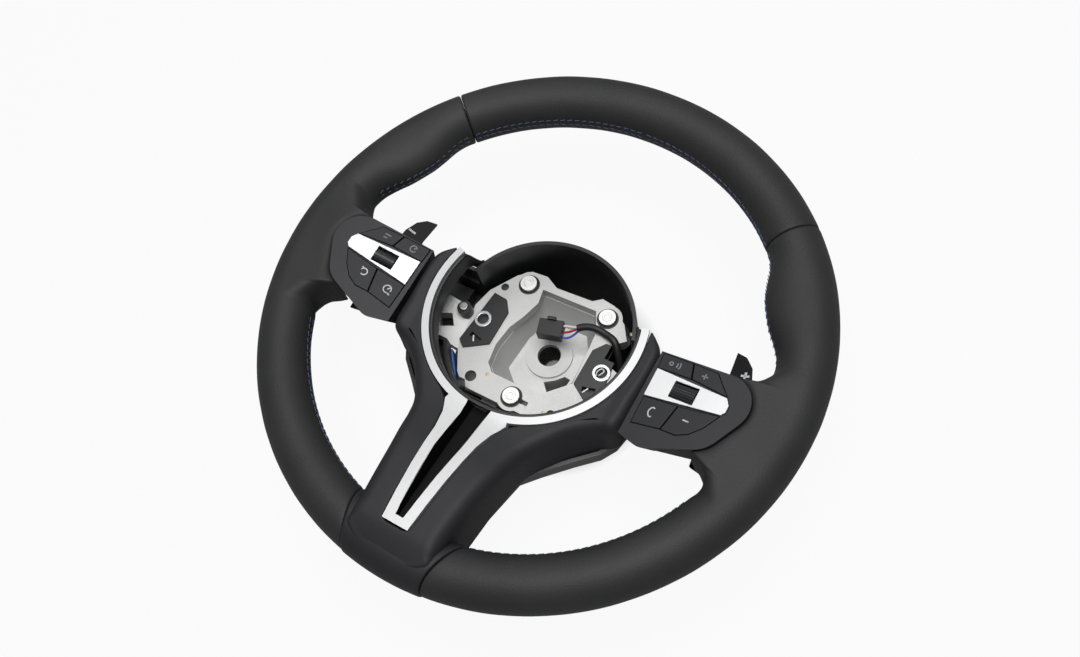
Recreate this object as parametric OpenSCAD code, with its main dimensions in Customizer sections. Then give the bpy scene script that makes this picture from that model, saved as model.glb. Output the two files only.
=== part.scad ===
// Three-spoke leather steering wheel of a car, shown without its centre cover.
// The wheel lies face up: +Z along the column toward the driver, +Y toward
// the wheel's top, +X to the driver's right, origin at the rear mouth of the
// column bore. All lengths are in millimetres.

/* [Rim] */
// Outside diameter of the wheel
wheel_d = 370; // [360:1:380]
// Thickness of the leather covered rim
rim_t = 34.4; // [33.6:0.2:35.6]
// Thickness of the leather
leather_t = 1.5; // [1.2:0.1:1.8]
// Diameter of the cast ring inside the rim
ring_d = 12; // [10:0.5:14]
// Height of the rim's middle over the rear face of the hub
dish = 88; // [86:1:92]
// Angle of each top seam from the wheel's top
top_seam_a = 46.5; // [44:0.5:48]
// Angle of the thumb swell's crest above the horizontal
thumb_a = 28; // [27:0.5:29.5]
// Half the angle that a thumb swell spans
thumb_half_a = 13; // [12:0.5:14]
// Height of a thumb swell over the round rim
thumb_rise = 8.6; // [7.5:0.1:10]
// Gap between two covering pieces at a seam
seam_gap = 0.4; // [0.2:0.1:0.8]

/* [Spokes and trim] */
// Middle radius of the silver arc
arc_r = 71; // [70.5:0.1:71.5]
// Width of the silver arc
arc_w = 4.8; // [4:0.2:5.4]
// Height of the silver arc's face over the rim's middle
arc_rise = 3.5; // [3:0.1:4.5]
// Rise of the side spokes toward the rim
spoke_a = 11; // [10:0.5:12]
// Thickness of the cover's walls
cover_wall = 2.5; // [2:0.1:3]
// Half width of the lower spoke
low_half_w = 33.5; // [32.5:0.5:34.5]
// Half width of the trim's foot at the rim
foot_half_w = 8.9; // [8.2:0.1:9.6]
// Width of the flat face along each leg of the trim
leg_face_w = 6; // [5:0.1:6.4]
// Dark gap round the trim
trim_gap = 0.5; // [0.3:0.1:0.8]

/* [Hub] */
// Radius of the column bore
bore_r = 8.25; // [7:0.05:9]
// Radius of the hub boss
boss_r = 16.5; // [15:0.5:18]
// Height of the hub boss
boss_h = 28; // [26:0.5:30]
// Depth of the hub plate's top under the rim's middle
plate_drop = 37; // [36:0.5:38]
// Thickness of the hub plate
plate_t = 8; // [7:0.5:9]
// Diameter of a contact pin's head
pin_head_d = 11.5; // [10.5:0.1:12]
// Diameter of a contact pin's shank
pin_d = 6; // [5:0.1:7]
// Outside diameter of a pin's black sleeve
sleeve_d = 15; // [14:0.1:16]
// Travel of a contact pin
pin_travel = 2; // [1:0.1:2.5]
// Inside radius of the rear cover's wall
bowl_r = 61; // [60.5:0.1:61.5]
// Depth of the rear cover's lip under the rim's middle
lip_drop = 13; // [11:0.5:15]

/* [Switch packs] */
// Distance of a pack's inner edge from the wheel's middle
pack_x = 84; // [83.5:0.1:84.5]
// Depth of a pack's housing
pack_h = 18; // [17:0.5:18.5]
// Gap round each button
button_gap = 0.4; // [0.3:0.05:0.5]
// How far the buttons stand over the housing
button_rise = 0.6; // [0.3:0.1:1]
// Travel of a button
button_travel = 1; // [0.5:0.1:1.2]
// Thickness of the silver insert's plate
insert_t = 1.2; // [1:0.1:1.5]
// Radius of the roller and of the rocker
roller_r = 5; // [4.6:0.1:5.2]
// Length of the roller and of the rocker
roller_l = 14.6; // [14:0.1:15]

/* [Shift paddles] */
// Distance of a paddle's hinge from the wheel's middle
hinge_x = 90; // [89.5:0.1:91]
// Depth of a paddle's hinge under the rim's middle
hinge_drop = 50; // [49:0.5:51]
// Rise of a paddle's blade toward the rim
paddle_a = 21; // [19:0.5:23]
// Thickness of a paddle's blade
blade_t = 3; // [2.5:0.1:3.5]
// Diameter of a paddle's hinge pin
hinge_pin_d = 3; // [2.5:0.1:3.4]
// Radial clearance of a turning shaft
shaft_fit = 0.05; // [0.03:0.01:0.08]

/* [Hidden] */
$fn = 96;
// A cut runs this far past the faces that it opens
past = 60;

// Rim
ring_r = wheel_d / 2 - rim_t / 2;
tube_r = rim_t / 2;
foam_fit = 0.1;
arm_fit = 0.1;
cover_arm_gap = 0.6;
sleeve_rise = 0.6;
// The seams of the lower cover run from the rim's inner to its outer side
low_seam_in = 37.2;
low_seam_out = 29.3;
low_strip_in = 8;
low_strip_out = 4;
low_end_a = -89;
// A thumb swell is an arc of tube whose ends lie on the rim's middle line
swell_half = ring_r * sin(thumb_half_a);
swell_sag = thumb_rise - ring_r * (1 - cos(thumb_half_a));
swell_r = (swell_half * swell_half + swell_sag * swell_sag) / (2 * swell_sag);
swell_a = asin(swell_half / swell_r);
swell_under = 0.3;
// Leather root that flares from the rim to each switch pack
root_top_y = 13.5;
root_top_r = 14;
root_top_x = 133.5;
root_low_y = -41;
root_low_r = 11;
root_low_x = 127;
root_in_x = 118;
root_up = 16.8;
root_down = 13;
root_sink = 0.6;

// Silver arc and the front cover
well_r = arc_r - arc_w / 2 - cover_wall;
cover_low_z = -24;
arc_end_a = 17.5;
arc_depth = 3;
face_over = 1;
trim_rise = 0.8;
// Side view of the lower spoke's face: distance from the middle, then height
low_profile = [[66, 2.6], [78, 5], [90, 9.5], [105, 14.8], [120, 18.3], [138, 20.6], [158, 21.6], [168,
    18.5]];
// Half of the front cover's outline
cover_half = [[68.5, 20.6], [74, 19.6], [83.2, 12], [83.4, -46], [70, -50], [57, -61], [47, -74],
    [40.5, -83], [37, -98], [low_half_w, -118], [low_half_w - 1.5, -134], [low_half_w - 3, -148],
        [low_half_w - 4, -156]];
leg_arc_w = 22;
leg_arc_y = -73;
leg_top_y = -82;
leg_top_w = 17.5;
foot_y = -155.5;
// Half widths of the groove between the legs: at the face and at its floor
leg_mid_w = 14.8;
leg_mid_y = -93;
slot_top_over = 2.6;
slot_top_w = leg_mid_w + slot_top_over - leg_face_w;
slot_foot_w = foot_half_w - leg_face_w;
slot_floor_top_w = 5.7;
slot_floor_foot_w = 2;
slot_y0 = -62;
slot_y1 = -150.5;
// Heights of the groove's floor over the rim's middle at its two ends
slot_z0 = -4.2;
slot_z1 = 18.8;
slot_bevel_top = 12.5;
slot_bevel_foot = 4;
slot_over = 8;
slot_t = 2;
slot_under = 0.2;
slot_fit = 1.8;

// Hub
plate_z = dish - plate_drop;
pin_places = [[-30.8, 33.2], [30.8, 33.2], [0, -44.2]];
pin_pad_r = 10;
pin_boss_r = 8.5;
pin_boss_drop = 4;
pin_over = 3;
pin_len = 15;
pin_head_t = 2.6;
dimple_d = 3.5;
dimple_h = 0.4;
sleeve_low = 3;
head_room = 0.4;
sleeve_over = 0.4;
arm_x = 48;
arm_z = plate_z - plate_t / 2;
arm_y = -14.5;
arm_w = 30;
arm_tip_w = 20;
arm_foot_x = ring_r - 5;
arm_a = atan2(dish + plate_t / 2 - arm_z, arm_foot_x - arm_x);
low_arm_y = 24;
low_arm_z = plate_z - 28;
low_arm_x = 17;
low_arm_w = 12;
low_arm_tip_w = 10;
// An arm narrows between these parts of its length
arm_neck = [0.35, 0.5];
low_arm_a = atan2(dish + plate_t / 2 - low_arm_z, arm_foot_x - low_arm_y);
plate_outline = [[-12, 39], [-22, 44], [-34, 43], [-42, 36], [-54, 18], [-57.5, 4], [-52, -29], [-43,
    -44.5], [-34.5, -52],
    [34.5, -52], [43, -44.5], [52, -29], [57.5, 0], [46, 4], [43, 9], [43, 18], [50, 24], [43, 34], [30.6,
        43.6], [20.8, 45], [15, 40.5]];
well_outline = [[-20, 34], [21, 35], [28.5, 21], [30, 6], [32, -18], [17, -33.5], [-5, -35], [-21, -35],
    [-27, -29.5], [-29, -16],
    [-27, -1], [-22, 10.5], [-18, 23.5]];
well_floor = [[-14, 24], [16, 25], [22, 16], [23.5, -10], [15, -27], [-13, -28], [-22, -20], [-20, 6]];
floor_z = boss_h - 2.5;
floor_t = 4.5;
tub_wall = 3;
foot_over = 4;
foot_drop = 6;
window = [[5.5, -18.5], [12, -14], [17, -8.5], [21.5, -9], [20.5, -18.5], [13.3, -26.5]];
small_holes = [[-45.5, 24.5, 5.6], [-32.8, -43.5, 8], [29.4, -43.5, 6]];
hole_deep = 4;
square_hole_at = [-68.5, -16];
square_hole_w = 9;
square_hole_a = 35;
side_screw_at = [-60, -4];
side_screw_d = 5.6;
screw_shank_r = 1.8;
screw_head_t = 2.4;
screw_l = 4;
side_boss_d = 10;
side_boss_top = dish - 29;

// Brackets beside the well
bracket_outline = [[49, 17], [39, 16], [33, 8], [33, -18], [48.5, -28], [53.5, -24]];
bracket_rise = 2;
bracket_depth = 6;
bracket_fit = 0.2;
eyelet_at = [46, -4];
eyelet_r = 6;
eyelet_hole_r = 4;
clip_slot = [9, 3];
clip_at = [44, -18];
clip_a = 15;
bracket_cut = [43, 6];
eyelet_over = 0.6;

// Rear cover
bowl_wall = 2.5;
bowl_floor = 2.5;
bowl_low_z = 42;
bowl_hole_r = 24;
lip_side = [80, 22];
notch_over = 12;
// Posts that carry the casting, at its screw holes
posts = [[-46, 24.5], [-32.8, -43.5], [29.4, -43.5], [45, 25.5]];
post_r = 5.5;
seat_gap = 0.3;
base_x0 = 68;
base_x1 = 84;
base_h = 11;
wing_x = 86;
wing_y0 = -25;
wing_y1 = 20;
wing_low_z = dish - hinge_drop - base_h / 2 - seat_gap - bowl_wall;
wing_top_z = dish - 33;
// Cover's notch for the lower arms
notch_w = 2 * (low_arm_x + low_arm_w / 2 + 2);
notch_z = 24;

// Tray behind the lower spoke
back_y = -65;
back_drop = 60;
back_a = 24;
back_l = 86;
back_h = 37;
back_half_w = low_half_w + 1;
back_end_half_w = back_half_w - 6;
flank_drop = 36;
flank_points = [[40, -30.5], [83, -30.5], [80, -46], [74, -56], [61, -68], [46, -83], [36, -94],
    [low_half_w - 1, -60]];

// Switch packs, in the plane of a pack's face
pack_z = dish + arc_rise + (pack_x - arc_r) * tan(spoke_a);
pocket_floor = 9;
housing_shapes = [[46, -6.5, 18.5], [38, -21, 19], [15, -37, 12.5]];
housing_top = 11.6;
row_1 = [[[2, 10.6], [21.6, 10.4], [24.6, 1], [2.6, 0.6]], [[22.4, 10.4], [38, 9.8], [49.2, -2], [25.4,
    1]]];
row_2 = [[[3.6, -19.4], [25, -18], [21.9, -34.6], [4.2, -37.2]], [[25.8, -18], [50.2, -14.8], [45, -24.4],
    [38.8, -31.2], [32, -34.6], [22.7, -34.6]]];
insert_outline = [[3, 0], [3.4, -18.8], [50.6, -13.8], [52.6, -11.4], [52.6, -6.8], [49.8, -2.8]];
insert_feet = [[4.5, -16, 8, 13], [42, -12, 7, 6]];
roller_u = 25;
roller_v = -9;
roller_drop = 2.4;
roller_axle_r = 1;
window_gap = 0.5;
arm_t = 1.5;
cradle_gap = 0.4;
cradle_low = 10;
pit_depth = 12.5;
rib_n = 18;
rib_r = 0.5;
// Corners of one rib: radius, then angle as a share of the pitch
rib_corners = [[roller_r - rib_r, 0], [roller_r - rib_r, 0.4], [roller_r, 0.5], [roller_r, 0.9]];
axle_short = 0.4;
cradle_floor_t = 1.6;
post_low = 0.6;
post_w = 6;
rocker_lips = [155, 205];
lip_t = 1.8;

// Shift paddles
blade_outline = [[30.5, 48], [38, 46.2], [43.6, 41], [47.5, 32], [50, 12], [51, -12], [50, -38], [37, -35],
    [35, -22], [25, -14], [0, -13], [0, 11], [23, 9], [30.5, 16], [32.5, 32]];
barrel_r = 3.4;
barrel_y0 = -14;
barrel_y1 = 12;
lug_t = 3.6;
lug_gap = 0.4;
hinge_bite = 1;

// Connector, lead and wires: routes are points chosen by hand
connector_at = [-1, 10.5];
connector_size = [17, 12, 9];
connector_turn = 16;
connector_z = plate_z - 7;
latch_size = [6, 2.4, 3];
lead_d = 5;
lead_route = [[16, 18, 52], [21, 21, 53], [28, 22.4, 53.7], [36, 21.6, 53.7], [43.6, 19.2, 54], [48.5, 14,
    49.5], [52, 9.5, 43],
    [53, 6.5, 35], [52.5, 5, 26], [52, 4.5, 14], [52, 4.5, 2.5]];
wire_d = 1.6;
wire_white_route = [[6, 15.8, 50.5], [9, 16.8, 51.2], [13, 17.4, 52.2], [16.2, 18.2, 53.2]];
wire_red_route = [[7.2, 12.6, 48], [10, 13.6, 48.6], [13, 15.4, 50], [17.2, 19.6, 51.6]];
wire_blue_route = [[8.3, 9.4, 46.5], [11.5, 10.6, 46.8], [14.5, 13.4, 48], [17.5, 18.2, 50.6]];
side_plug_size = [22, 8.5, 9];
side_plug_at = [-51, -43.2];
side_plug_turn = -52;
side_wire_d = 2.4;
side_wire_route = [[-57.2, -35.2, 47], [-59, -32.5, 47.5], [-60.5, -30.6, 47.8], [-61.5, -29.2, 48]];
module_size = [38, 7, 7];
module_at = [-30, -62];
module_ribs = 4;
module_rib_h = 2;

// A tube of many straight sides along a hand-chosen route
function unit(v) = v / norm(v);
function bend(p, i) = let (last = len(p) - 1) unit(p[min(i + 1, last)] - p[max(i - 1, 0)]);
function mix(p0, p1, p2, p3, t) = 0.5 * ((2 * p1) + (p2 - p0) * t + (2 * p0 - 5 * p1 + 4 * p2 - p3) * t * t
    + (3 * p1 - p0 - 3 * p2 + p3) * t * t * t);
function smooth(p, k) = let (n = len(p)) concat([for (i = [0:n - 2], j = [0:k - 1])
    mix(p[max(i - 1, 0)], p[i], p[i + 1], p[min(i + 2, n - 1)], j / k)], [p[n - 1]]);
function across(d, last) = let (a = last - (last * d) * d) unit(a);
function frames(p, i = 0, last = [0.3, 0.2, 0.93]) = i == len(p) ? [] : let (a = across(bend(p, i), last))
    concat([a], frames(p, i + 1, a));

module tube(route, d, k, sides) {
    p = smooth(route, k);
    f = frames(p);
    n = len(p);
    pts = [for (i = [0:n - 1], j = [0:sides - 1])
        let (a = f[i], b = cross(bend(p, i), a), t = 360 * j / sides)
        p[i] + d / 2 * (a * cos(t) + b * sin(t))];
    sides_faces = [for (i = [0:n - 2], j = [0:sides - 1])
        [i * sides + j, i * sides + (j + 1) % sides, (i + 1) * sides + (j + 1) % sides, (i + 1)
            * sides + j]];
    first = [for (j = [0:sides - 1]) sides - 1 - j];
    last = [for (j = [0:sides - 1]) (n - 1) * sides + j];
    mirror_faces = [for (q = concat([first], sides_faces, [last])) [for (m = [len(q) - 1:-1:0]) q[m]]];
    polyhedron(pts, mirror_faces);
}

// Mirrors its children for the driver's left side
module on_side(side) {
    if (side < 0) mirror([1, 0, 0]) children();
    else children();
}

// Plane of a switch pack's face: u along the spoke, v up, w toward the driver
module pack_frame() {
    translate([pack_x, 0, pack_z]) rotate([0, -spoke_a, 0]) children();
}

// Outline of the leather root that flares from the rim, in the wheel's plane
module root_outline(inset) {
    offset(delta = -inset) difference() {
        translate([root_in_x, root_low_y - root_low_r]) square([ring_r - root_in_x,
            root_top_y + root_top_r - root_low_y + root_low_r]);
        translate([root_top_x, root_top_y + root_top_r]) circle(root_top_r);
        translate([root_in_x - 1, root_top_y]) square([root_top_x - root_in_x + 1, root_top_r + 1]);
        translate([root_low_x, root_low_y - root_low_r]) circle(root_low_r);
        translate([root_in_x - 1, root_low_y - root_low_r - 1]) square([root_low_x - root_in_x + 1,
            root_low_r + 1]);
    }
}

// Rim with its thumb swells and roots, smaller all round by the inset
module rim_solid(inset) {
    r = tube_r - inset;
    translate([0, 0, dish]) {
        rotate_extrude() translate([ring_r, 0]) circle(r);
        for (side = [-1, 1]) on_side(side) {
            rotate([0, 0, thumb_a]) translate([ring_r - thumb_rise + swell_r, 0, 0]) rotate([0, 0,
                180 - swell_a])
                rotate_extrude(angle = 2 * swell_a) translate([swell_r, 0]) circle(r - swell_under);
            intersection() {
                translate([0, 0, -root_down + inset]) linear_extrude(root_up + root_down - 2 * inset)
                    root_outline(inset);
                translate([0, 0, -dish]) pack_frame() translate([0, 0, -past - root_sink - inset])
                    linear_extrude(past) square([3 * past, 4 * past], center = true);
            }
        }
    }
}

// Room for the switch packs in the leather roots
module pack_room(gap) {
    for (side = [-1, 1]) on_side(side) pack_frame() translate([0, 0, -pack_h - gap])
        linear_extrude(pack_h + past)
        offset(delta = gap) housing_outline();
}

// Sector of the wheel between two angles, as a cutting block
module sector(a0, a1) {
    steps = 8;
    reach = wheel_d;
    translate([0, 0, dish - past]) linear_extrude(2 * past)
        polygon(concat([[0, 0]], [for (i = [0:steps]) reach * [cos(a0 + (a1 - a0) * i / steps),
            sin(a0 + (a1 - a0) * i / steps)]]));
}

// Strip of the rim that the lower cover wraps, wider by the gap on each side
module low_strip(gap) {
    translate([0, 0, dish - past]) linear_extrude(2 * past) polygon([[-low_seam_in - gap,
        -ring_r + tube_r + low_strip_in],
        [low_seam_in + gap, -ring_r + tube_r + low_strip_in], [low_seam_out + gap,
            -wheel_d / 2 - low_strip_out],
        [-low_seam_out - gap, -wheel_d / 2 - low_strip_out]]);
}

module leather(a0, a1) {
    color("#2a2a2c") difference() {
        intersection() {
            difference() {
                rim_solid(0);
                rim_solid(leather_t);
            }
            sector(a0, a1);
        }
        pack_room(seam_gap);
        low_strip(seam_gap);
        armature_arms(arm_fit);
    }
}

module leather_top() {
    half_gap = seam_gap / ring_r * 90 / PI;
    leather(90 - top_seam_a + half_gap, 90 + top_seam_a - half_gap);
}

module leather_right() {
    half_gap = seam_gap / ring_r * 90 / PI;
    leather(low_end_a, 90 - top_seam_a - half_gap);
}

module leather_left() {
    mirror([1, 0, 0]) leather_right();
}

// Cast ring, spokes and hub in one light-metal casting
module arm(length, a, w0, w1, rise) {
    rotate([0, -a, 0]) translate([0, 0, -rise]) linear_extrude(rise)
        polygon([[0, -w0 / 2], [length * arm_neck[0], -w0 / 2], [length * arm_neck[1], -w1 / 2], [length,
            -w1 / 2],
            [length, w1 / 2], [length * arm_neck[1], w1 / 2], [length * arm_neck[0], w0 / 2], [0, w0 / 2]]);
}

module armature() {
    color("#b9bbbc") difference() {
        union() {
            translate([0, 0, dish]) rotate_extrude() translate([ring_r, 0]) circle(ring_d / 2);
            armature_arms(0);
            translate([0, 0, plate_z - plate_t]) linear_extrude(plate_t) union() {
                polygon(plate_outline);
                for (p = pin_places) translate(p) circle(pin_pad_r);
            }
            for (p = pin_places) translate([p[0], p[1], plate_z - plate_t - pin_boss_drop])
                cylinder(r = pin_boss_r, h = plate_t);
            hull() {
                translate([0, 0, plate_z - 2]) linear_extrude(1) offset(delta = tub_wall)
                    polygon(well_outline);
                translate([0, 0, floor_z - floor_t]) linear_extrude(1) offset(delta = tub_wall)
                    polygon(well_floor);
            }
            cylinder(r = boss_r, h = boss_h);
            cylinder(r = boss_r + foot_over, h = boss_h - foot_drop);
        }
        difference() {
            union() {
                translate([0, 0, plate_z - plate_t - 1]) linear_extrude(past) polygon(well_outline);
                hull() {
                    translate([0, 0, plate_z - plate_t]) linear_extrude(1) polygon(well_outline);
                    translate([0, 0, floor_z]) linear_extrude(1) polygon(well_floor);
                }
                linear_extrude(past) polygon(window);
            }
            cylinder(r = boss_r, h = boss_h);
        }
        translate([0, 0, -1]) cylinder(r = bore_r, h = boss_h + 2);
        for (h = small_holes) translate([h[0], h[1], plate_z - hole_deep]) cylinder(d = h[2], h = past);
        for (p = pin_places) translate([p[0], p[1], plate_z - past / 2]) cylinder(d = sleeve_d, h = past);
        for (side = [-1, 1]) on_side(side) translate([0, 0, plate_z - bracket_depth]) linear_extrude(past)
            offset(delta = bracket_fit) polygon(bracket_outline);
        for (side = [-1, 1]) translate([side * eyelet_at[0], eyelet_at[1], plate_z - bracket_depth])
            cylinder(r = eyelet_r + bracket_fit, h = past);
        translate([square_hole_at[0], square_hole_at[1], plate_z - plate_t]) rotate([0, 0, square_hole_a])
            linear_extrude(past)
            square(square_hole_w, center = true);
    }
}

module rim_foam() {
    color("#3b3b3b") difference() {
        rim_solid(leather_t + foam_fit);
        translate([0, 0, dish]) rotate_extrude() translate([ring_r, 0]) circle(ring_d / 2);
        armature_arms(arm_fit / 2);
        pack_room(seam_gap);
    }
}

// The casting's arms alone, for the room that they take in the rim
module armature_arms(gap) {
    side_len = (arm_foot_x - arm_x) / cos(arm_a);
    low_len = (arm_foot_x - low_arm_y) / cos(low_arm_a);
    for (side = [-1, 1]) on_side(side) translate([arm_x, arm_y, arm_z + gap])
        arm(side_len, arm_a, arm_w + 2 * gap, arm_tip_w + 2 * gap, plate_t + 2 * gap);
    for (x = [-low_arm_x, low_arm_x]) translate([x, -low_arm_y, low_arm_z + gap]) rotate([0, 0, -90])
        arm(low_len, low_arm_a, low_arm_w + 2 * gap, low_arm_tip_w + 2 * gap, plate_t + 2 * gap);
}

// Solid under the cover's face, its top lowered by the drop
module cover_face(drop) {
    side_x = pack_x + face_over;
    side_rise = (side_x - arc_r) * tan(spoke_a);

    translate([0, 0, dish + cover_low_z]) linear_extrude(arc_rise - cover_low_z - drop)
        square(4 * arc_r, center = true);
    for (side = [-1, 1]) on_side(side) translate([0, past / 2, dish]) rotate([90, 0, 0])
        linear_extrude(2 * past)
        polygon([[arc_r - face_over, cover_low_z], [side_x, cover_low_z], [side_x,
            arc_rise + side_rise - drop],
            [arc_r, arc_rise - drop], [arc_r - face_over, arc_rise - drop]]);
    translate([0, 0, dish]) rotate([90, 0, -90]) translate([0, 0, -arc_r]) linear_extrude(2 * arc_r)
        polygon(concat([[low_profile[0][0], cover_low_z]], [for (p = low_profile) [p[0], p[1] - drop]],
            [[ring_r, cover_low_z]]));
}

// Front cover's outline, smaller all round by the inset
module cover_outline(inset) {
    offset(delta = -inset) difference() {
        polygon(concat(cover_half, [for (i = [len(cover_half) - 1:-1:0]) [-cover_half[i][0],
            cover_half[i][1]]]));
        circle(well_r);
        translate([-arc_r, 0]) square([2 * arc_r, past]);
    }
    offset(delta = -inset) for (side = [-1, 1]) on_side(side) intersection() {
        polygon([[0, 0], cover_half[0], cover_half[1], cover_half[2], [cover_half[3][0], 0]]);
        difference() {
            circle(3 * arc_r);
            circle(well_r);
        }
    }
}

module spoke_cover() {
    color("#26272b") {
        difference() {
            union() {
                intersection() {
                    translate([0, 0, dish + cover_low_z]) linear_extrude(past) cover_outline(0);
                    cover_face(0);
                }
                intersection() {
                    translate([0, 0, dish]) rotate_extrude() translate([ring_r, 0])
                        circle(tube_r + sleeve_rise);
                    low_strip(0);
                }
            }
            intersection() {
                translate([0, 0, dish + cover_low_z - 1]) linear_extrude(past) cover_outline(cover_wall);
                translate([0, 0, -1]) cover_face(arc_depth + 1);
            }
            rim_solid(leather_t - foam_fit);
            translate([0, 0, dish + arc_rise - arc_depth]) linear_extrude(past) difference() {
                circle(arc_r + arc_w / 2 + trim_gap);
                circle(arc_r - arc_w / 2 - trim_gap);
            }
            leg_pocket();
            armature_arms(cover_arm_gap);
        }
    }
}

// Plan of the trim's two legs as one plate, its top inside the well
module leg_plate(grow) {
    offset(delta = grow) polygon([[-leg_arc_w, leg_arc_y], [-leg_top_w, leg_top_y], [-leg_mid_w, leg_mid_y],
        [-foot_half_w, foot_y], [foot_half_w, foot_y], [leg_mid_w, leg_mid_y], [leg_top_w, leg_top_y],
        [leg_arc_w, leg_arc_y], [leg_arc_w - 4, leg_arc_y + 13], [4 - leg_arc_w, leg_arc_y + 13]]);
}

// Side view of the lower spoke, as a plate across it
module side_plate(points) {
    translate([0, 0, dish]) rotate([90, 0, -90]) translate([0, 0, -arc_r]) linear_extrude(2 * arc_r)
        polygon(points);
}

// Side view points of the groove's floor, lowered by the drop
function floor_line(drop) = [[-slot_y0, slot_z0 - drop], [-slot_y1, slot_z1 - drop],
    [-slot_y1 + slot_over, slot_z1 + 1 - drop]];
function face_line(rise) = [for (p = low_profile) [p[0], p[1] + rise]];
function backwards(p) = [for (i = [len(p) - 1:-1:0]) p[i]];

// Plan of the groove, wider by the grow value
module groove_plan(w0, w1, grow) {
    offset(delta = grow) polygon([[-w0, slot_y0], [w0, slot_y0], [w1, slot_y1], [-w1, slot_y1]]);
}

// Everything between the legs over the groove's floor
module groove() {
    reach = past / 2;
    polyhedron([[-slot_floor_top_w, slot_y0, dish + slot_z0], [slot_floor_top_w, slot_y0, dish + slot_z0],
        [slot_floor_foot_w, slot_y1, dish + slot_z1], [-slot_floor_foot_w, slot_y1, dish + slot_z1],
        [-slot_top_w, slot_y0, dish + slot_z0 + slot_bevel_top], [slot_top_w, slot_y0,
            dish + slot_z0 + slot_bevel_top],
        [slot_foot_w, slot_y1, dish + slot_z1 + slot_bevel_foot], [-slot_foot_w, slot_y1,
            dish + slot_z1 + slot_bevel_foot],
        [-slot_top_w, slot_y0, dish + reach], [slot_top_w, slot_y0, dish + reach],
        [slot_foot_w, slot_y1, dish + reach], [-slot_foot_w, slot_y1, dish + reach]],
        [for (q = [[0, 1, 2, 3], [4, 5, 1], [4, 1, 0], [5, 6, 2], [5, 2, 1], [6, 7, 3], [6, 3, 2], [7, 4,
            0], [7, 0, 3],
            [8, 9, 5], [8, 5, 4], [9, 10, 6], [9, 6, 5], [10, 11, 7], [10, 7, 6], [11, 8, 4], [11, 4, 7],
                [11, 10, 9, 8]])
            backwards(q)]);
}

module leg_pocket() {
    intersection() {
        translate([0, 0, dish + cover_low_z]) linear_extrude(past) difference() {
            leg_plate(trim_gap);
            circle(arc_r - arc_w / 2 - trim_gap / 2);
        }
        side_plate(concat(floor_line(slot_t + slot_under), backwards(face_line(past))));
    }
}

module trim() {
    color("#d9dadb") difference() {
        union() {
            intersection() {
                translate([0, 0, dish + arc_rise - arc_depth]) linear_extrude(arc_depth + trim_rise)
                    difference() {
                    circle(arc_r + arc_w / 2);
                    circle(arc_r - arc_w / 2);
                }
                sector(180 - arc_end_a, 360 + arc_end_a);
            }
            intersection() {
                translate([0, 0, dish + cover_low_z]) linear_extrude(past) difference() {
                    leg_plate(0);
                    circle(arc_r - arc_w / 2);
                }
                side_plate(concat(floor_line(0), backwards(face_line(trim_rise))));
            }
        }
        groove();
    }
}

module trim_slot() {
    color("#08080a") intersection() {
        translate([0, 0, dish + cover_low_z]) linear_extrude(past) difference() {
            groove_plan(slot_floor_top_w, slot_floor_foot_w, slot_fit);
            circle(arc_r - arc_w / 2);
        }
        side_plate(concat(floor_line(slot_t), backwards(floor_line(0))));
    }
}

// Rear cover: a bowl round the hub with a high lip over the top and two wings
module rear_cover() {
    color("#151518") difference() {
        union() {
            cylinder(r = bowl_r + bowl_wall, h = bowl_low_z);
            intersection() {
                cylinder(r = bowl_r + bowl_wall, h = dish - lip_drop);
                linear_extrude(dish) polygon([[0, 0], lip_side, [lip_side[0], lip_side[0]], [-lip_side[0],
                    lip_side[0]],
                    [-lip_side[0], lip_side[1]]]);
            }
            for (side = [-1, 1]) on_side(side) translate([bowl_r - 6, wing_y0, wing_low_z])
                cube([wing_x - bowl_r + 6, wing_y1 - wing_y0, wing_top_z - wing_low_z]);
        }
        for (rise = [0, plate_t]) translate([0, 0, rise]) armature_arms(cover_arm_gap);
        translate([0, 0, bowl_floor]) cylinder(r = bowl_r, h = dish);
        translate([0, 0, -1]) cylinder(r = bowl_hole_r, h = past);
        for (side = [-1, 1]) on_side(side) translate([bowl_r - 8, wing_y0 + bowl_wall,
            wing_low_z + bowl_wall])
            cube([wing_x, wing_y1 - wing_y0 - 2 * bowl_wall, past]);
        translate([-notch_w / 2, -bowl_r - past, notch_z]) cube([notch_w, past + notch_over, past]);
    }
    color("#151518") for (p = posts) translate([p[0], p[1], bowl_floor / 2])
        cylinder(r = post_r, h = plate_z - plate_t - seat_gap - bowl_floor / 2);
}

// Back of the lower spoke, a tray that closes the front cover from behind
module lower_back() {
    color("#151518") difference() {
        translate([0, back_y, dish - back_drop]) rotate([-back_a, 0, 0]) rotate([0, 0, -90])
            linear_extrude(back_h) back_outline(0, 0);
        translate([0, back_y, dish - back_drop]) rotate([-back_a, 0, 0]) translate([0, 0, bowl_wall])
            rotate([0, 0, -90])
            linear_extrude(past) back_outline(bowl_wall, past);
        rim_solid(-sleeve_rise - seam_gap);
        translate([0, 0, dish + cover_low_z - seam_gap]) linear_extrude(past) square(wheel_d,
            center = true);
    }
    color("#151518") for (side = [-1, 1]) on_side(side) difference() {
        translate([0, 0, dish - flank_drop]) linear_extrude(flank_drop + cover_low_z - seam_gap)
            flank_outline(0);
        translate([0, 0, dish - flank_drop + bowl_wall]) linear_extrude(past) flank_outline(bowl_wall);
    }
}

// Plan of the tray, its sides inset and its ends run on
module back_outline(inset, over) {
    polygon([[-over, inset - back_half_w], [back_l + over, inset - back_end_half_w],
        [back_l + over, back_end_half_w - inset], [-over, back_half_w - inset]]);
}

// Plan of the back's flank beside the lower spoke
module flank_outline(inset) {
    offset(delta = -inset) difference() {
        polygon(flank_points);
        circle(bowl_r + bowl_wall + seam_gap);
    }
}

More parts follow.
